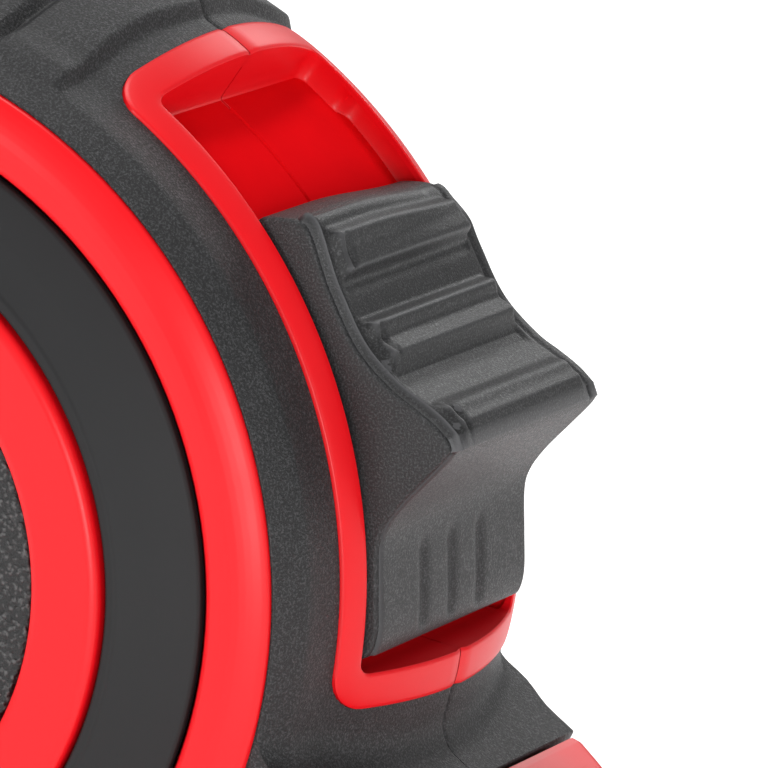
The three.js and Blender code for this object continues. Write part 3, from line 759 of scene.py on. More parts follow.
@dataclass
class Grip:
    """The rubber over the rim, with raised palm pads and the neck that runs down to the nose."""

    crown: Crown = field(default_factory=Crown)
    start: float = 222.0
    lift: float = 1.0
    plane: float = 12.81
    direction: Point2 = (0.804, -0.595)
    fillet: float = 3.0
    end: float = 46.35
    thick: float = 2.0
    pads: tuple[tuple[float, float], ...] = ((60.6, 69.2), (70.8, 109.0), (160.0, 214.0))

    def edge(self, side: Side) -> list[Point2]:
        """The side's profile past the slot: distance from the parting plane and radius."""
        if side is Side.LEFT:
            return [(16, 40.8), (17.4, 40.68), (18.5, 40.6), (18.85, 40.52), (19.15, 40.38), (20.1, 39.88),
                    (20.8, 39.5), (21.2, 39.28), (21.38, 39.15), (21.38, 39.05), (21.2, 39.0)]
        return [(15.4, 40.4), (16.3, 39.75), (16.9, 39.3), (17.15, 39.12), (17.28, 38.95), (17.25, 38.8)]

    def pad(self, angle: np.ndarray, y: float) -> np.ndarray:
        """How far the palm pads stand out.

        Args:
            angle: degrees round the rim.
            y: distance from the parting plane, with its sign.

        Returns:
            The lift in millimetres.
        """
        bend = 1.1 * math.exp(-(((y + 9) / 6) ** 2)) - 1.6 * float(smooth(4, 14, y))
        total = np.zeros_like(angle)
        for i, (low, high) in enumerate(self.pads):
            start = low + (bend if i == 0 else 0)
            rise = smooth(start - 1.1, start + 0.7, angle)
            total += rise * (1 - smooth(high - 0.7, high + 0.7, angle))
        side = (1 - smooth(17.6, 19.2, -y)) * (1 - smooth(14.6, 16.2, y))
        return self.lift * total * side

    def path(self, radius: float, y: float, angles: np.ndarray) -> np.ndarray:
        """The section at one Y, from the rear over the rim, down the fillet and along the neck.

        Args:
            radius: the rim's radius there.
            y: distance from the parting plane, with its sign.
            angles: degrees at which the rim is cut.

        Returns:
            X and Z of the section's points.
        """
        n = np.array([-self.direction[1], self.direction[0]])
        d = np.array(self.direction)
        far = radius + self.fillet
        along = math.sqrt(far**2 - (self.plane + self.fillet) ** 2)
        centre = (self.plane + self.fillet) * n + along * d
        last = math.degrees(math.atan2(centre[1], centre[0]))
        free = 45
        spread = (free - last) / (free - angles[-1])
        turn = np.where(angles > free, angles, last + (angles - angles[-1]) * spread)
        r = radius + self.pad(turn, y)
        rim = np.stack([r * np.cos(np.radians(turn)), r * np.sin(np.radians(turn))], axis=1)
        a0 = math.atan2(-centre[1], -centre[0])
        a1 = math.atan2(-n[1], -n[0])
        a1 = a0 + math.remainder(a1 - a0, 2 * math.pi)
        bend = np.linspace(a0, a1, 10)[1:]
        arc = centre + self.fillet * np.stack([np.cos(bend), np.sin(bend)], axis=1)
        flat = [self.plane * n + t * d for t in np.linspace(along, self.end, 9)[1:]]
        lip = [(self.plane - sunk) * n + (self.end + out) * d for sunk, out in ((0.12, 0.08), (0.5, 0.1))]
        return np.vstack([rim, arc, flat, lip])

    def form(self, side: Side) -> Form:
        """One half of the rubber.

        Args:
            side: which half.

        Returns:
            The closed form.
        """
        sign = side.value
        wanted = [*np.arange(-16, self.start, 1.0), self.start]
        for low, high in self.pads:
            wanted += [*np.arange(low - 3, low + 2, 0.3), *np.arange(high - 2, high + 2, 0.4)]
        angles = np.array(sorted({round(float(v), 2) for v in wanted}))[::-1]
        across = [(y, float(self.crown.at(y if y > SEAM else 0)) - sunk)
                  for y, sunk in ((SEAM, 0.22), (0.16, 0.06), (0.3, 0))]
        across += [(y, float(self.crown.at(y))) for y in np.linspace(1, 14.65, 22)] + self.edge(side)
        rows = [self.row(radius, sign * y, angles) for y, radius in across]
        side_y = sign * across[-1][0]
        inner = [(side_y, self.crown.under), (sign * SEAM, self.crown.under)]
        for y, radius in inner:
            rows.append(self.under(rows[0 if abs(y) < 1 else -1], radius, y))
        return Form().strip(rows)

    def row(self, radius: float, y: float, angles: np.ndarray) -> np.ndarray:
        """One section of the outside, drawn in at the neck so that it stays on the case."""
        flat = self.path(radius, y, angles)
        reach = smooth(40, 43, flat[:, 0]) * smooth(8, 14, -flat[:, 1])
        limit = 20.2 if y < 0 else 16.2
        drawn = math.copysign(min(abs(y), limit), y)
        return np.stack([flat[:, 0], y + (drawn - y) * reach, flat[:, 1]], axis=1)

    def under(self, outside: np.ndarray, radius: float, y: float) -> np.ndarray:
        """The inside row below an outside row."""
        flat = outside[:, [0, 2]]
        n = np.array([-self.direction[1], self.direction[0]])
        length = np.linalg.norm(flat, axis=1, keepdims=True)
        inward = flat / length * radius
        sunk = flat - n * self.thick
        neck = (smooth(42, 44.5, flat[:, 0]) * smooth(10, 13, -flat[:, 1]))[:, None]
        placed = inward * (1 - neck) + sunk * neck
        return np.stack([placed[:, 0], np.full(len(placed), y), placed[:, 1]], axis=1)


@dataclass
class Case:
    """The two red shells with their rubber, side cover, foot and screws."""

    OUTLET_Z = -37.6
    crown: Crown = field(default_factory=Crown)
    slot: Slot = field(default_factory=Slot)
    grip: Grip = field(default_factory=Grip)
    rim_r: float = 38.2
    chamber_r: float = 34.5
    face: tuple[float, float] = (-21.5, 17.5)
    dish: tuple[float, float] = (30.0, 12.4)
    door: tuple[float, float, float, float] = (117.0, 156.0, 11.0, 44.0)
    door_mouth: tuple[float, float, float] = (119.5, 155.3, 8.8)
    foot: tuple[float, float, float, float] = (-20.0, 44.0, -15.0, 12.0)
    screws: tuple[tuple[float, float, float], ...] = (
        (*polar(37.2, 84), 17), (*polar(37.2, 170), 17), (-22, -36.3, 16), (36, -23.5, 16), (54, -30.5, 12),
    )
    top: tuple[Point2, ...] = (
        (-31.4, -30), (-29.5, -26), (-18, -18), (30, -8.8), (38.7, -15.2), (44.0, -19.2), (44.75, -18.1),
        (45.2, -17.6), (45.7, -17.8), (56, -25.5), (61, -28.2), (66, -30.3), (74.6, -32.8), (75.6, -33.4),
        (76, -34.4),
    )
    bottom: tuple[Point2, ...] = (
        (-31.4, -31), (-29, -37), (-25.5, -41.2), (-23.5, -42.2), (73, -42.2), (75.2, -41.4), (76, -39.6),
    )
    ring: tuple[Point2, ...] = (
        (34.1, -20.7), (34.1, -22.3), (34.3, -22.6), (34.7, -22.78), (35.6, -22.8), (36.3, -22.74),
        (36.9, -22.58), (37.4, -22.38), (37.9, -22.14), (38.4, -21.86), (38.75, -21.6), (38.9, -21.25),
        (38.6, -20.7),
    )
    wall: tuple[float, float] = (-19.6, 10.85)
    left_plan: tuple[Point2, ...] = ((-45, 20.5), (46, 20.5), (58, 15.5), (68, 10), (76, 8))
    right_plan: tuple[Point2, ...] = ((-45, 16.5), (46, 16.5), (58, 12.5), (68, 9), (76, 8))

    def lower(self, side: Side, form: Form) -> None:
        """Adds half of the lower case and nose: rounded box sections along X.

        Args:
            side: which half.
            form: the form that it joins.
        """
        plan = np.array(self.left_plan if side is Side.LEFT else self.right_plan)
        top, bottom = np.array(self.top), np.array(self.bottom)
        fine = np.concatenate([np.linspace(-31.4, 76, 90), top[:, 0], bottom[:, 0]])
        rows = []
        for x in np.unique(np.round(fine, 2)):
            z1, z0 = np.interp(x, top[:, 0], top[:, 1]), np.interp(x, bottom[:, 0], bottom[:, 1])
            half = np.interp(x, plan[:, 0], plan[:, 1])
            r = min(1.5, 0.4 * (z1 - z0))
            turn = np.linspace(0, np.pi / 2, 7)
            upper = [(half - r + r * math.sin(a), z1 - r + r * math.cos(a)) for a in turn]
            below = [(half - r + r * math.cos(a), z0 + r - r * math.sin(a)) for a in turn]
            section = [(SEAM, z1 - 0.25), (0.25, z1), *upper, *below, (0.25, z0), (SEAM, z0 + 0.25)]
            rows.append([(x, side.value * y, z) for y, z in section])
        form.stack(np.array(rows))

    def barrel(self, side: Side, form: Form) -> None:
        """Adds the round wall under the rubber and the side wall, open at the filler mouth.

        Args:
            side: which half.
            form: the form that it joins.
        """
        low, high = 124.0, 144.0
        turn = np.radians(np.linspace(high, low + 360, 150))
        y0, y1 = SEAM * side.value, self.face[0 if side is Side.LEFT else 1] - 0.1 * side.value
        ring = [(self.chamber_r, y0), (self.rim_r, y0), (self.rim_r, y1), (self.chamber_r, y1)]
        rows = [[(r * math.cos(a), y, r * math.sin(a)) for r, y in ring] for a in turn]
        form.stack(np.array(rows))
        turn = np.radians(np.linspace(low, high, 16))
        edge = 7.2 * side.value if side is Side.LEFT else 5.0
        ring = [(self.chamber_r, edge), (self.rim_r, edge), (self.rim_r, y1), (self.chamber_r, y1)]
        form.stack(np.array([[(r * math.cos(a), y, r * math.sin(a)) for r, y in ring] for a in turn]))

    def door_frame(self, side: Side, form: Form) -> None:
        """Adds half of the raised frame round the filler door."""
        low, high, half, r = self.door
        mouth_low, mouth_high, mouth = self.door_mouth
        sign = side.value

        def block(a: float, b: float, y0: float, y1: float, r0: float, r1: float) -> None:
            """Adds a curved block with rounded edges."""
            corners = [(y0, r0), (y1, r0), (y1, r1), (y0, r1)]
            line = soften(corners, 0.3, 3)
            rows = []
            for angle in np.linspace(a, b, max(3, round((b - a) / 1.2))):
                rows.append([(*polar(rr, angle), y) for y, rr in line])
            rows = np.array(rows)[:, :, [0, 2, 1]]
            form.stack(rows)

        block(low, high, sign * mouth, sign * half, 37.5, r)
        block(low, mouth_low, sign * SEAM, sign * (mouth + 0.3), 37.5, r)
        block(mouth_high, high, sign * SEAM, sign * (mouth + 0.3), 37.5, r)
        block(low + 1, 124, sign * SEAM, sign * mouth, 37.5, 39.6)
        block(144, high - 1, sign * SEAM, sign * mouth, 37.5, 39.6)

    def left_shell(self) -> None:
        """The left shell, with the red ring round the side cover."""
        form = Form()
        self.lower(Side.LEFT, form)
        self.barrel(Side.LEFT, form)
        self.door_frame(Side.LEFT, form)
        outside, wall = self.face[0], self.wall[0]
        form.turned([(2.8, outside), (38.0, outside), (38.0, wall), (2.8, wall)])
        form.turned(self.ring, round_by=0.12)
        form.join(self.slot.rim(Side.LEFT))
        piece = shown(form, "left_case_shell", "case", RED, ["left_shell"], 40)
        hollow = [(0, wall), (self.chamber_r, wall), (self.chamber_r, 5), (0, 5)]
        carve(piece, [cutter(Form().turned(hollow, round_by=0.05), "left_hollow")], 40, weld=True)

    def right_shell(self) -> None:
        """The right shell, with the crank's dish and its guard ring."""
        form = Form()
        self.lower(Side.RIGHT, form)
        self.barrel(Side.RIGHT, form)
        self.door_frame(Side.RIGHT, form)
        dish_r, dish_y = self.dish
        outside, wall, chamber = self.face[1], self.wall[1], self.chamber_r
        guard = [(6.4, wall), (6.4, dish_y + 1), (30.4, dish_y + 1), (30.4, 19.4), (34.2, 19.4), (35, 18.4),
                 (35, outside), (38, outside), (38, wall)]
        form.turned(guard, round_by=0.4)
        form.join(self.slot.rim(Side.RIGHT))
        piece = shown(form, "right_case_shell", "case", RED, ["right_shell"], 40)
        dish = [(0, dish_y), (dish_r, dish_y), (dish_r, 16.6), (31, 17.4), (31, 18.6), (32.2, 19.8),
                (32.2, 30), (0, 30)]
        hollow = [(0, -4), (chamber, -4), (chamber, 5.6), (27.9, 5.6), (27.9, 10.8), (0, 10.8)]
        seats = Form()
        for x, z, top in self.screws:
            seats.turned([(0, top - 2.0), (2.3, top - 2.0), (2.3, 40), (0, 40)], (x, z), 0.05, 32)
        tools = [cutter(Form().turned(hollow, round_by=0.05), "right_hollow"),
                 cutter(Form().turned(dish, round_by=0.5), "dish_knife"), cutter(seats, "screw_seats")]
        carve(piece, tools, 40, weld=True)

    def door_knife(self) -> Form:
        """A block the shape of the door's frame, for cutting the rubber round it."""
        low, high, half, _ = self.door
        gap, step = 0.25, 1.0
        s0, s1, edge = self.crown.arc(low) - gap, self.crown.arc(high) + gap, half + gap
        outline = soften([(s0, -edge), (s1, -edge), (s1, edge), (s0, edge)], 0.8, 4)
        dense = []
        for (s, y), (t, w) in zip(outline, outline[1:] + outline[:1]):
            count = max(1, round(math.hypot(t - s, w - y) / step))
            dense += [(s + (t - s) * k / count, y + (w - y) * k / count) for k in range(count)]
        return self.crown.knife(np.array(dense))

    def rubber(self) -> None:
        """The two halves of the rubber, cut round the slot, the door and two screw posts."""
        for side, node in ((Side.LEFT, "left_grip"), (Side.RIGHT, "right_grip")):
            piece = shown(self.grip.form(side), f"{node}_rubber", "case", GRIP, [node], 50)
            posts = Form()
            for x, z, _ in self.screws[:2]:
                posts.turned([(0, -40), (3.3, -40), (3.3, 40), (0, 40)], (x, z), 0.05, 40)
            tools = [cutter(self.slot.knife(), "slot_knife"), cutter(self.door_knife(), "door_knife")]
            if side is Side.RIGHT:
                tools.append(cutter(posts, "post_knife"))
            carve(piece, tools, 50)

    def side_cover(self) -> None:
        """The black cone, its red ring and the leather-grained badge."""
        cone = [(0, -21.8), (33.75, -21.8), (33.78, -22.5), (33.55, -22.75), (30.8, -24.0), (28.3, -25.02),
                (28.05, -25.22), (27.5, -25.3), (27.3, -25.1), (27.3, -23), (0, -23)]
        shown(Form().turned(cone, round_by=0.12), "side_cone", "case", SATIN, ["side_cover"], 50)
        ring = [(21.4, -23.3), (27, -23.3), (27, -25.3), (26.85, -25.75), (26.4, -26.0), (22.1, -26.0),
                (21.55, -25.8), (21.4, -25.4)]
        shown(Form().turned(ring, round_by=0.2), "side_ring", "case", RED, ["cover_ring"], 50)
        badge = [(0, -23.3), (21.1, -23.3), (21.1, -24.75), (20.85, -25.0), (0, -25.0)]
        shown(Form().turned(badge, round_by=0.2), "side_badge", "case", BADGE, ["badge_disc"], 50)

    def foot_pad(self) -> None:
        """The rubber foot, with shallow grip grooves."""
        x0, x1, y0, y1 = self.foot
        outline = soften([(x0, y0), (x1, y0), (x1, y1), (x0, y1)], 1.6, 6)
        rings = []
        for depth, z in ((0, -41.6), (0, -42.7), (0.12, -42.9), (0.4, -43.0)):
            flat = inset(outline, depth)
            rings.append(np.stack([flat[:, 0], flat[:, 1], np.full(len(flat), z)], axis=1))
        piece = shown(Form().stack(np.array(rings)), "foot_rubber", "case", GRIP, ["base_pad"])
        grooves = Form()
        for x in np.arange(x0 + 4, x1 - 2, 5):
            section = [(x - 0.5, -42.5), (x + 0.5, -42.5), (x + 0.8, -43.4), (x - 0.8, -43.4)]
            grooves.stack(np.array([[(u, y, z) for u, z in section] for y in (y0 + 2.5, y1 - 2.5)]))
        carve(piece, [cutter(grooves, "foot_grooves")])

    def fasteners(self) -> None:
        """Case screws with a domed head and a hexagon socket."""
        for i, (x, z, top) in enumerate(self.screws):
            profile = [(0, -9), (1.1, -8), (1.1, top - 1.7), (2, top - 1.7), (2, top - 0.5), (1.5, top),
                       (0.95, top), (0.85, top - 1.0), (0, top - 1.0)]
            form = Form().turned(profile, (x, z), 0.2, 48)
            piece = shown(form, f"screw_{i + 1}", "case", STEEL, [f"case_screw_{i + 1}"])
            corners = [polar(1.05, 60 * k) for k in range(6)]
            socket = [[(x + u, y, z + w) for u, w in corners] for y in (top - 0.9, top + 1)]
            knife = Form().stack(np.array(socket))
            carve(piece, [cutter(knife, "socket")])

    def slot_floors(self) -> None:
        """The matt floors of the thumb lock's slot."""
        for side in Side:
            shown(self.slot.pocket(side), f"{side.name.lower()}_slot_floor", "case", DEEP_RED, sharp=40)

    def build(self) -> None:
        """Builds every piece of the case."""
        self.slot_floors()
        self.left_shell()
        self.right_shell()
        self.rubber()
        self.side_cover()
        self.foot_pad()
        self.fasteners()


# ---- thumb lock ---------------------------------------------------------------------------------
@dataclass
class Rib:
    """A rib across the thumb pad: its upper and lower Z, and heights of its parts."""

    high: float
    low: float
    tall: float
    dip: float
    groove: float
    slit: float

    def relief(self, z: np.ndarray, from_slit: float) -> np.ndarray:
        """How far the rib stands out.

        Args:
            z: Z along the pad's line.
            from_slit: distance from the slit near the rib's left end.

        Returns:
            The height in millimetres.
        """
        middle, length = (self.high + self.low) / 2, self.high - self.low
        rise = 1 - smooth(self.high - 0.3, self.high + 0.6, z)
        body = rise * smooth(self.low - 0.45, self.low + 0.55, z)
        dip = self.dip * bell(z - middle - 0.1, length * 0.22)
        slit = self.slit * bell(from_slit, 0.3) * np.exp(-(((z - middle) / 1.1) ** 4))
        return body * (self.tall - dip - slit) - self.groove * bell(z - self.low + 0.75, 0.45)


@dataclass
class ThumbLock:
    """The sliding lock: a grained body in the slot with a ribbed pad over it."""

    half: float = 12.07
    pad_half: float = 11.75
    far: float = 12.05
    sink: float = 0.25
    top: tuple[Point2, ...] = (
        (35.9, 26.25), (37.0, 25.8), (37.6, 24.6), (38.1, 23.1), (38.75, 21.35), (39.5, 19.8), (40.3, 18.2),
        (41.2, 16.8), (42.4, 15.5), (44.2, 14.0), (45.8, 13.05), (47.4, 12.0), (48.6, 10.9),
    )
    front: tuple[Point2, ...] = (
        (48.95, 9.95), (48.3, 9.1), (46.7, 7.5), (44.6, 5.4), (43.35, 3.7), (42.9, 2.1), (42.9, -1),
        (42.9, -4), (42.5, -5.6), (41.7, -6.5),
    )
    ribs: tuple[Rib, ...] = (
        Rib(24.7, 21.5, 1.0, 0.1, 0.16, 0.55), Rib(18.1, 15.2, 1.1, 0.42, 0.3, 0.3),
        Rib(12.5, 10.95, 0.6, 0.12, 0.0, 0.4),
    )
    rib_half: float = 9.9
    slit_y: float = -8.9
    lip_y: float = 11.28
    groove_y: tuple[float, ...] = (-4.9, -0.3, 4.3)
    lean: float = 0.8

    def section(self) -> np.ndarray:
        """The pad's outer line from its top edge over the beak to its foot."""
        return np.vstack([resample(self.top, 0.16), resample(self.front, 0.2)])

    def relief(self, x: np.ndarray, z: np.ndarray, y: float) -> np.ndarray:
        """How far the pad stands out: ribs, the valleys between them, front grooves and the lip.

        Args:
            x: X along the pad's line.
            z: Z along the pad's line.
            y: distance from the middle, with its sign.

        Returns:
            The height in millimetres.
        """
        across = 1 - smooth(self.rib_half - 0.35, self.rib_half + 0.45, abs(y))
        ribs = sum(rib.relief(z, y - self.slit_y) for rib in self.ribs) * across
        lip = (0.42 if y < 0 else 0.0) * bell(abs(y) - self.lip_y, 0.24) - 0.16 * bell(abs(y) - 10.7, 0.25)
        above = (z > 9.9) & (x > 36)
        front = (x < 43.2) & (z < 3.2)
        grooves = 0.32 * sum(bell(y - c, 0.55) for c in self.groove_y)
        length = (1 - smooth(0.4, 2.4, z)) * smooth(-5.6, -4.4, z)
        return np.where(above, ribs + lip, 0) - np.where(front, grooves * length, 0)

    def slope(self, y: float, z: np.ndarray) -> np.ndarray:
        """How far the top drops at the crank side."""
        return 1.15 * float(smooth(-5, 12.2, y)) * smooth(21.8, 26.2, z)

    def across(self, flat: np.ndarray, y: float, drop: np.ndarray) -> np.ndarray:
        """Points of a section at one Y, let down by a drop and leaning back with it."""
        return np.stack([flat[:, 0] - self.lean * drop, np.full(len(flat), y), flat[:, 1] - drop], axis=1)

    def pad(self) -> Form:
        """The ribbed pad.

        Returns:
            The closed form.
        """
        line = self.section()
        step = np.gradient(line, axis=0)
        normal = np.stack([step[:, 1], -step[:, 0]], axis=1)
        normal /= np.linalg.norm(normal, axis=1, keepdims=True)
        normal *= np.sign(normal[0] @ np.array([1.0, 0.6]))
        count = len(line)
        ends = np.minimum(np.arange(count), np.arange(count)[::-1]) * 0.16
        edge_drop = 0.5 * (1 - smooth(0, 0.7, ends))
        stations = np.concatenate([[-self.pad_half] * 2, -self.pad_half + np.array([0.05, 0.16, 0.32]),
                                   np.linspace(-11.3, -8, 26), np.linspace(-7.8, 8, 46),
                                   np.linspace(8.2, 11.6, 20),
                                   self.far - np.array([0.32, 0.16, 0.05]), [self.far] * 2])
        drops = np.concatenate([[1.5, 0.42, 0.2, 0.08, 0.01], np.zeros(92), [0.01, 0.08, 0.2, 0.42, 1.5]])
        rows = []
        for y, drop in zip(stations, drops):
            lift = self.relief(line[:, 0], line[:, 1], float(y)) - drop - edge_drop
            rows.append(self.across(line + normal * lift[:, None], y, self.slope(float(y), line[:, 1])))
        inner = line - normal * 1.5
        rows = rows[1:-1]
        for y in np.linspace(self.far, -self.pad_half, 13):
            rows.append(self.across(inner, y, self.slope(float(y), line[:, 1])))
        return Form().strip(rows)

    def body(self) -> Form:
        """The body under the pad, with its flanges in the slot's guides and the brake's tongue.

        Returns:
            The form.
        """
        bottom = [polar(40.0, a) for a in np.linspace(-9, 37.3, 24)]
        skin = [(34.2, 26.3), *self.top, *self.front]
        sunk = inset([*skin, *bottom], self.sink)[: len(skin)]
        flat = np.array(soften([*map(tuple, sunk), *bottom, (33.0, 25.9)], 0.5, 4))
        rings = []
        for depth, y in ((0.3, 0), (0.12, 0.05), (0.03, 0.16), (0, 0.35)):
            rings.append((depth, -self.half + y))
        rings += [(0, float(y)) for y in np.linspace(-11, 11, 15)]
        rings += [(d, self.half - y) for d, y in ((0, 0.35), (0.03, 0.16), (0.12, 0.05), (0.3, 0))]
        rows = []
        for depth, y in rings:
            ring = inset(flat, depth)
            drop = self.slope(y, ring[:, 1]) * smooth(40.1, 41, np.hypot(ring[:, 0], ring[:, 1]))
            rows.append(self.across(ring, y, drop))
        form = Form().stack(np.array(rows))
        turn = np.linspace(-8.5, 31, 20)
        flange = [polar(40.05, a) for a in turn] + [polar(41.3, a) for a in turn[::-1]]
        form.plate(flange, (-13.25, 13.25), 0.15, 0.1)
        tongue = [polar(37.6, 12), polar(37.6, 16), polar(40.6, 16), polar(40.6, 12)]
        form.plate(tongue, (0.8, 3.7), 0.2, 0.2)
        return form

    def build(self) -> None:
        """Builds the lock's two pieces."""
        shown(self.body(), "lock_body", "thumb_lock", BLACK, ["lock_slider"], 40)
        shown(self.pad(), "lock_pad", "thumb_lock", THUMB, ["thumb_pad"], 60)


# ---- crank --------------------------------------------------------------------------------------
@dataclass
class Crank:
    """The folding crank: hub, arm and knob."""

    pivot: Point2 = (21.9, 9.0)
    knob_z: float = -22.0
    y: Point2 = (20.4, 23.4)
    ear_r: float = 2.6
    end_r: float = 5.2
    flutes: int = 12
    hub_profile: tuple[Point2, ...] = (
        (0, 10.7), (5.9, 10.7), (5.9, 12.8), (10.5, 12.8), (10.5, 16.2), (9.7, 17), (0, 17),
    )
    screw_profile: tuple[Point2, ...] = (
        (0, 9.3), (1.6, 9.3), (1.6, 17.3), (3.4, 17.3), (3.4, 18.5), (2.9, 19), (1.5, 19), (1.3, 18.2),
        (0, 18.2),
    )
    knob_profile: tuple[Point2, ...] = (
        (1.7, 20.1), (4.9, 20.1), (5.5, 19.4), (4.75, 16.6), (5.5, 13.8), (4.8, 13.1), (2.9, 13.1),
        (2.9, 14.6), (1.7, 14.6),
    )
    rivet_profile: tuple[Point2, ...] = (
        (0, 13.3), (2.6, 13.3), (2.6, 14.3), (1.4, 14.3), (1.4, 23.7), (2.6, 23.7), (2.2, 24.5), (0, 24.5),
    )

    @staticmethod
    def standing(flat: np.ndarray, height: np.ndarray) -> np.ndarray:
        """Puts an outline in the YZ plane, with its height along X."""
        return np.stack([height, flat[:, 0], flat[:, 1]], axis=1)

    def hub(self) -> None:
        """The hub with its two ears."""
        form = Form().turned(self.hub_profile, round_by=0.5)
        pivot_y, pivot_z = self.pivot
        arc = (polar(self.ear_r, a) for a in np.linspace(90, -90, 13))
        round_end = [(pivot_y + u, pivot_z + w) for u, w in arc]
        ear = [(15.0, pivot_z + self.ear_r), *round_end, (15.0, pivot_z - self.ear_r)]
        for x0, x1 in ((-5.25, -3.3), (3.3, 5.25)):
            form.plate(ear, (x0, x1), 0.3, 0.1, self.standing)
        shown(form, "crank_hub_moulding", "crank", SATIN, ["crank_hub"])
        screw = Form().turned(self.screw_profile, round_by=0.25, segments=64)
        shown(screw, "hub_screw_head", "crank", STEEL, ["hub_screw"])

    def arm(self) -> None:
        """The steel arm with its rounded end and finger dip."""
        y0, y1 = self.y
        _, pivot_z = self.pivot
        end = [(u, self.knob_z + w) for u, w in (polar(self.end_r, a) for a in np.linspace(148, 392, 30))]
        outline = [(-2.9, pivot_z + 1.6), *end, (2.9, pivot_z + 1.6)]
        form = Form().plate(outline, (y0, y1), 0.35, 0.2)
        piece = shown(form, "crank_arm_plate", "crank_arm", STEEL, ["crank_arm"])
        bowl = [(0, y1 - 0.8), (1.6, y1 - 0.7), (2.4, y1 - 0.2), (2.9, y1 + 0.6), (0, y1 + 0.6)]
        dip = Form().turned(bowl, (0, -9), 0.3, 48)
        bore = Form().turned([(0, 19), (1.7, 19), (1.7, 25), (0, 25)], (0, self.knob_z), 0.05, 48)
        carve(piece, [cutter(dip, "dip"), cutter(bore, "bore")])

    def knob(self) -> None:
        """The waisted knob with finger flutes."""
        line = np.array(soften(self.knob_profile, 0.5))
        turn = np.linspace(0, 2 * np.pi, 144, endpoint=False)
        rows = []
        for a in turn:
            flute = 0.16 * (1 + math.cos(self.flutes * a)) * smooth(4.4, 5.1, line[:, 0])
            r = line[:, 0] - flute
            rows.append(np.stack([r * math.cos(a), line[:, 1], self.knob_z + r * math.sin(a)], axis=1))
        form = Form().grid(np.array(rows), around=True, along=True)
        shown(form, "knob_grip", "knob", SATIN, ["crank_knob"], 50)
        pin = Form().turned(self.rivet_profile, (0, self.knob_z), 0.25, 64)
        shown(pin, "knob_rivet", "crank_arm", STEEL, ["knob_pin"])

    def build(self) -> None:
        """Builds the crank's outer pieces."""
        self.hub()
        self.arm()
        self.knob()


# ---- filler door, nose and hook -----------------------------------------------------------------
@dataclass
class FillerDoor:
    """The hinged door that chalk is poured in through."""

    crown: Crown = field(default_factory=Crown)
    span: tuple[float, float, float] = (120.0, 149.0, 8.5)
    radii: Point2 = (41.0, 44.2)
    hinge: tuple[float, float, float, float] = (41.9, 152.5, 1.8, 5.5)
    grip_lines: tuple[float, ...] = (6, 8, 10, 12, 14, 16)

    def leaf(self, form: Form) -> None:
        """Adds the curved leaf, its thumb lip and its grip lines."""
        low, high, half = self.span
        inner, outer = self.radii
        s0, s1 = self.crown.arc(low), self.crown.arc(high)
        ends = np.array([0, 0.1, 0.3])
        s = np.concatenate([s0 + ends, np.linspace(s0 + 0.5, s1 - 0.5, 60), s1 - ends[::-1]])
        rows = []
        for place in s:
            near = min(place - s0, s1 - place)
            corner = 1.2 - math.sqrt(max(0.0, 1.2**2 - max(0.0, 1.2 - near) ** 2))
            wide = half - corner
            middle = np.linspace(-wide + 0.6, wide - 0.6, 13)
            y = np.concatenate([[-wide], -wide + ends, middle, wide - ends[::-1], [wide]])
            top = outer - 0.35 * (1 - smooth(0, 0.5, near)) - 0.35 * (1 - smooth(0, 0.5, wide - abs(y)))
            lines = sum(bell(place - s0 - c, 0.35) for c in self.grip_lines)
            top = top - 0.3 * lines * (1 - smooth(5.6, 6.2, abs(y)))
            top = top + 0.6 * math.exp(-(((place - s0 - 1.5) / 0.7) ** 4)) * (1 - smooth(4.6, 5.2, abs(y)))
            top[0] = top[-1] = inner
            rows.append(self.crown.wrap(np.full(len(y), place), y, top))
        form.stack(np.array(rows))

    def build(self) -> None:
        """Builds the door."""
        form = Form()
        self.leaf(form)
        r, angle, barrel, half = self.hinge
        pivot = polar(r, angle)
        form.turned([(1.3, -half), (barrel, -half), (barrel, half), (1.3, half)], pivot, 0.2, 48)
        strap = [polar(41.2, a) for a in (148, 150, 151.6)] + [polar(42.9, a) for a in (151.6, 150, 148)]
        form.plate(strap, (-half, half), 0.15, 0.1)
        shown(form, "filler_door_leaf", "filler_door", BLACK, ["fill_door"])


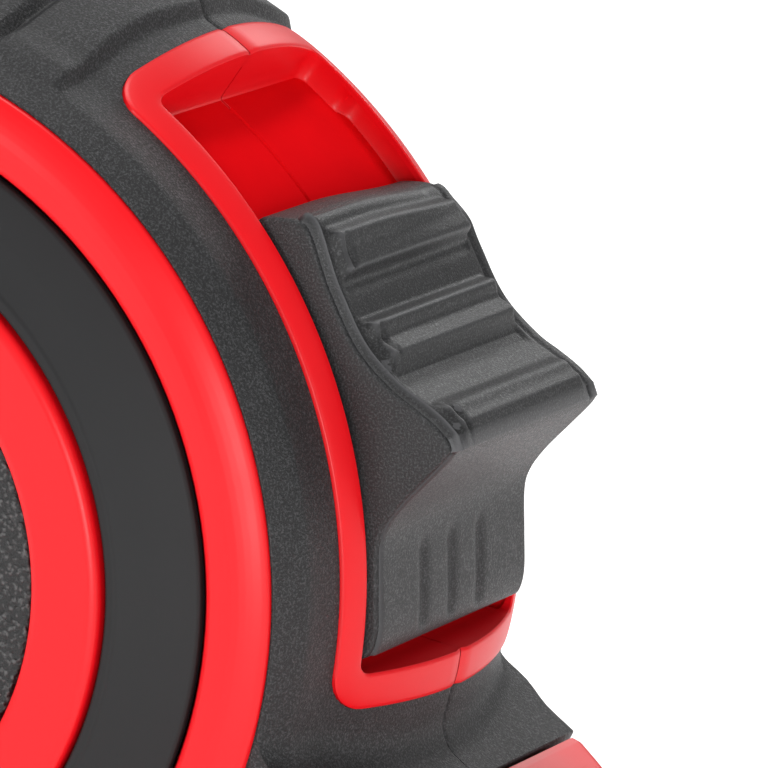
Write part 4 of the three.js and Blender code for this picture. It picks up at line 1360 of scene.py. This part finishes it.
@dataclass
class Nose:
    """The outlet: the black block, its eyelet and the hook on the line."""

    front: float = 76.0
    hook_x: float = 77.6

    def outlet(self) -> None:
        """The block round the outlet and its steel eyelet."""
        z = Case.OUTLET_Z
        outline = soften([(-6, z - 3.3), (6, z - 3.3), (6, z + 3.3), (-6, z + 3.3)], 0.8, 5)
        rings = []
        for depth, x in ((0, 65.7), (0, self.front - 0.4), (0.12, self.front - 0.12), (0.4, self.front)):
            flat = inset(outline, depth)
            rings.append(np.stack([np.full(len(flat), x), flat[:, 0], flat[:, 1]], axis=1))
        block = shown(Form().stack(np.array(rings)), "outlet_block", "case", BLACK, ["nose_block"])
        bore = Form().turned_on_outlet([(0, 60), (2.2, 60), (2.2, 80), (0, 80)], 0.05)
        carve(block, [cutter(bore, "outlet_bore")])
        lip, crest, top = self.front + 0.3, self.front + 0.9, self.front + 1.2
        eyelet = [(1, 67), (1.9, 67), (1.9, lip), (2.9, lip), (2.9, crest), (2.4, top), (1.4, top),
                  (1, crest)]
        shown(Form().turned_on_outlet(eyelet), "outlet_eyelet", "case", STEEL, ["line_eyelet"])

    def hook(self) -> None:
        """The pressed hook: a plate and a claw with a bend between them."""
        z = Case.OUTLET_Z
        x = self.hook_x
        profile = [(x, z + 7.6), (x, z - 3.6), (x + 0.3, z - 4.6), (x + 5, z - 4.6), (x + 5, z - 3.5),
                   (x + 1.8, z - 3.4), (x + 1.2, z - 2.8), (x + 1.2, z + 7.6)]
        plate = Form().plate(profile, (-5.5, 5.5), 0.2, 0.35)
        piece = shown(plate, "end_hook", "hook", STEEL, ["hook_plate"])
        eye = Form().turned_on_outlet([(0, 70), (0.8, 70), (0.8, 80.5), (0, 80.5)], 0.05)
        slit = soften([(-1.2, z + 2.8), (1.2, z + 2.8), (1.2, z + 5.6), (-1.2, z + 5.6)], 0.5, 4)
        slit_form = Form().stack(np.array([[(u, y, w) for y, w in slit] for u in (x - 1, x + 3)]))
        carve(piece, [cutter(eye, "eye"), cutter(slit_form, "nail_slit")])
        ferrule = [(0.8, x + 1.5), (1.5, x + 1.5), (1.6, x + 3), (1.2, x + 4.4), (0, x + 4.4), (0, x + 3.6),
                   (0.8, x + 3.6)]
        shown(Form().turned_on_outlet(ferrule), "line_ferrule", "hook", BRASS, ["hook_ferrule"])

    def build(self) -> None:
        """Builds the outlet and the hook."""
        self.outlet()
        self.hook()


# ---- carried-over pieces ------------------------------------------------------------------------
@dataclass
class Works:
    """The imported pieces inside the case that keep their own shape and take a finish."""

    finishes: dict[str, Finish] = field(default_factory=lambda: {
        "red_plastic": RED, "rubber": GRIP, "black_plastic": SATIN, "badge": BADGE, "steel": STEEL,
        "brass": BRASS, "nylon": NYLON, "felt": FELT, "line": LINE,
    })
    pieces: dict[str, tuple[str, ...]] = field(default_factory=lambda: {
        "nylon": ("spool", "spool_flange", "ring_gear", "planet_gear_1", "planet_gear_2", "planet_gear_3",
                  "brake_shoe"),
        "brass": ("left_bush", "right_bush", "sun_gear"),
        "steel": ("axle", "planet_carrier", "planet_pin_1", "planet_pin_2", "planet_pin_3", "arm_pin",
                  "door_hinge_pin", "detent_spring"),
        "black_plastic": ("gear_plate",),
        "felt": ("shaft_seal", "door_gasket", "felt_wiper"),
        "line": ("line_pack", "line_lead", "line_pull"),
    })

    def build(self) -> None:
        """Dresses each carried-over piece."""
        for slot, names in self.pieces.items():
            for name in names:
                piece = frame["nodes"][name]
                piece.data.materials.clear()
                piece.data.materials.append(self.finishes[slot].material())
                piece.data.shade_smooth()
                piece.data.set_sharp_from_angle(angle=math.radians(32))
                LOG.info("%s keeps its shape in %s", name, self.finishes[slot].name)


# ---- studio -------------------------------------------------------------------------------------
@dataclass
class Studio:
    """A pale floor, soft lights and a long lens."""

    aim: Point3 = (37.05, 0.0, 54.76)
    azimuth: float = 27.28
    elevation: float = 11.42
    width: float = 56.89
    lens: float = 400.0

    def back(self) -> Vector:
        """The direction from the aim to the camera."""
        a, e = math.radians(self.azimuth), math.radians(self.elevation)
        return Vector((math.sin(a) * math.cos(e), -math.cos(a) * math.cos(e), math.sin(e)))

    def camera(self) -> None:
        """Makes the camera."""
        data = bpy.data.cameras.new("camera")
        data.lens, data.sensor_width = self.lens, 36.0
        data.clip_start, data.clip_end = 0.01, 50.0
        eye = bpy.data.objects.new("camera", data)
        distance = self.width * MM * self.lens / 36.0
        eye.location = Vector(self.aim) * MM + self.back() * distance
        eye.rotation_mode = "QUATERNION"
        eye.rotation_quaternion = (-self.back()).to_track_quat("-Z", "Y")
        bpy.context.scene.collection.objects.link(eye)
        bpy.context.scene.camera = eye

    def floor(self) -> None:
        """Makes the pale floor."""
        mesh = bpy.data.meshes.new("floor")
        r = 6.0
        mesh.from_pydata([(-r, -r, 0), (r, -r, 0), (r, r, 0), (-r, r, 0)], [], [(0, 1, 2, 3)])
        floor = bpy.data.objects.new("floor", mesh)
        bpy.context.scene.collection.objects.link(floor)
        g = Graph("pale_floor")
        g.set(Base_Color=linear(250, 250, 250), Roughness=0.9)
        g.set(Emission_Color=(1, 1, 1, 1), Emission_Strength=0.5)
        mesh.materials.append(g.material)
        floor.location.z = -0.0002

    def light(self, name: str, place: Point3, size: float, power: float) -> None:
        """Makes one soft light that faces the reel."""
        data = bpy.data.lights.new(name, "AREA")
        data.size, data.energy = size, power
        lamp = bpy.data.objects.new(name, data)
        lamp.location = place
        aim = Vector(self.aim) * MM - lamp.location
        lamp.rotation_mode = "QUATERNION"
        lamp.rotation_quaternion = aim.to_track_quat("-Z", "Y")
        bpy.context.scene.collection.objects.link(lamp)

    def build(self) -> None:
        """Makes the whole set."""
        self.camera()
        self.floor()
        world = bpy.data.worlds.new("white_room")
        world.use_nodes = True
        world.node_tree.nodes["Background"].inputs["Color"].default_value = (1, 1, 1, 1)
        world.node_tree.nodes["Background"].inputs["Strength"].default_value = 0.3
        bpy.context.scene.world = world
        bpy.context.scene.view_settings.view_transform = "Standard"
        self.light("key", (-0.5, -1.0, 0.45), 0.3, 4.1)
        self.light("front", (0.56, -0.9, 0.1), 0.2, 3.6)
        self.light("nose_side", (1.0, -0.2, 0.3), 0.3, 0.6)
        self.light("overhead", (-0.05, 0.1, 1.2), 0.35, 5.6)
        self.light("rear", (0.06, 0.95, 0.6), 0.5, 2.5)


def main() -> None:
    """Builds the reel and its set."""
    logging.basicConfig(level=logging.INFO, format="%(name)s: %(message)s")
    Studio().build()
    for part in (Case(), ThumbLock(), Crank(), FillerDoor(), Nose(), Works()):
        part.build()
        LOG.info("%s is done", type(part).__name__)


if __name__ == "__main__":
    main()
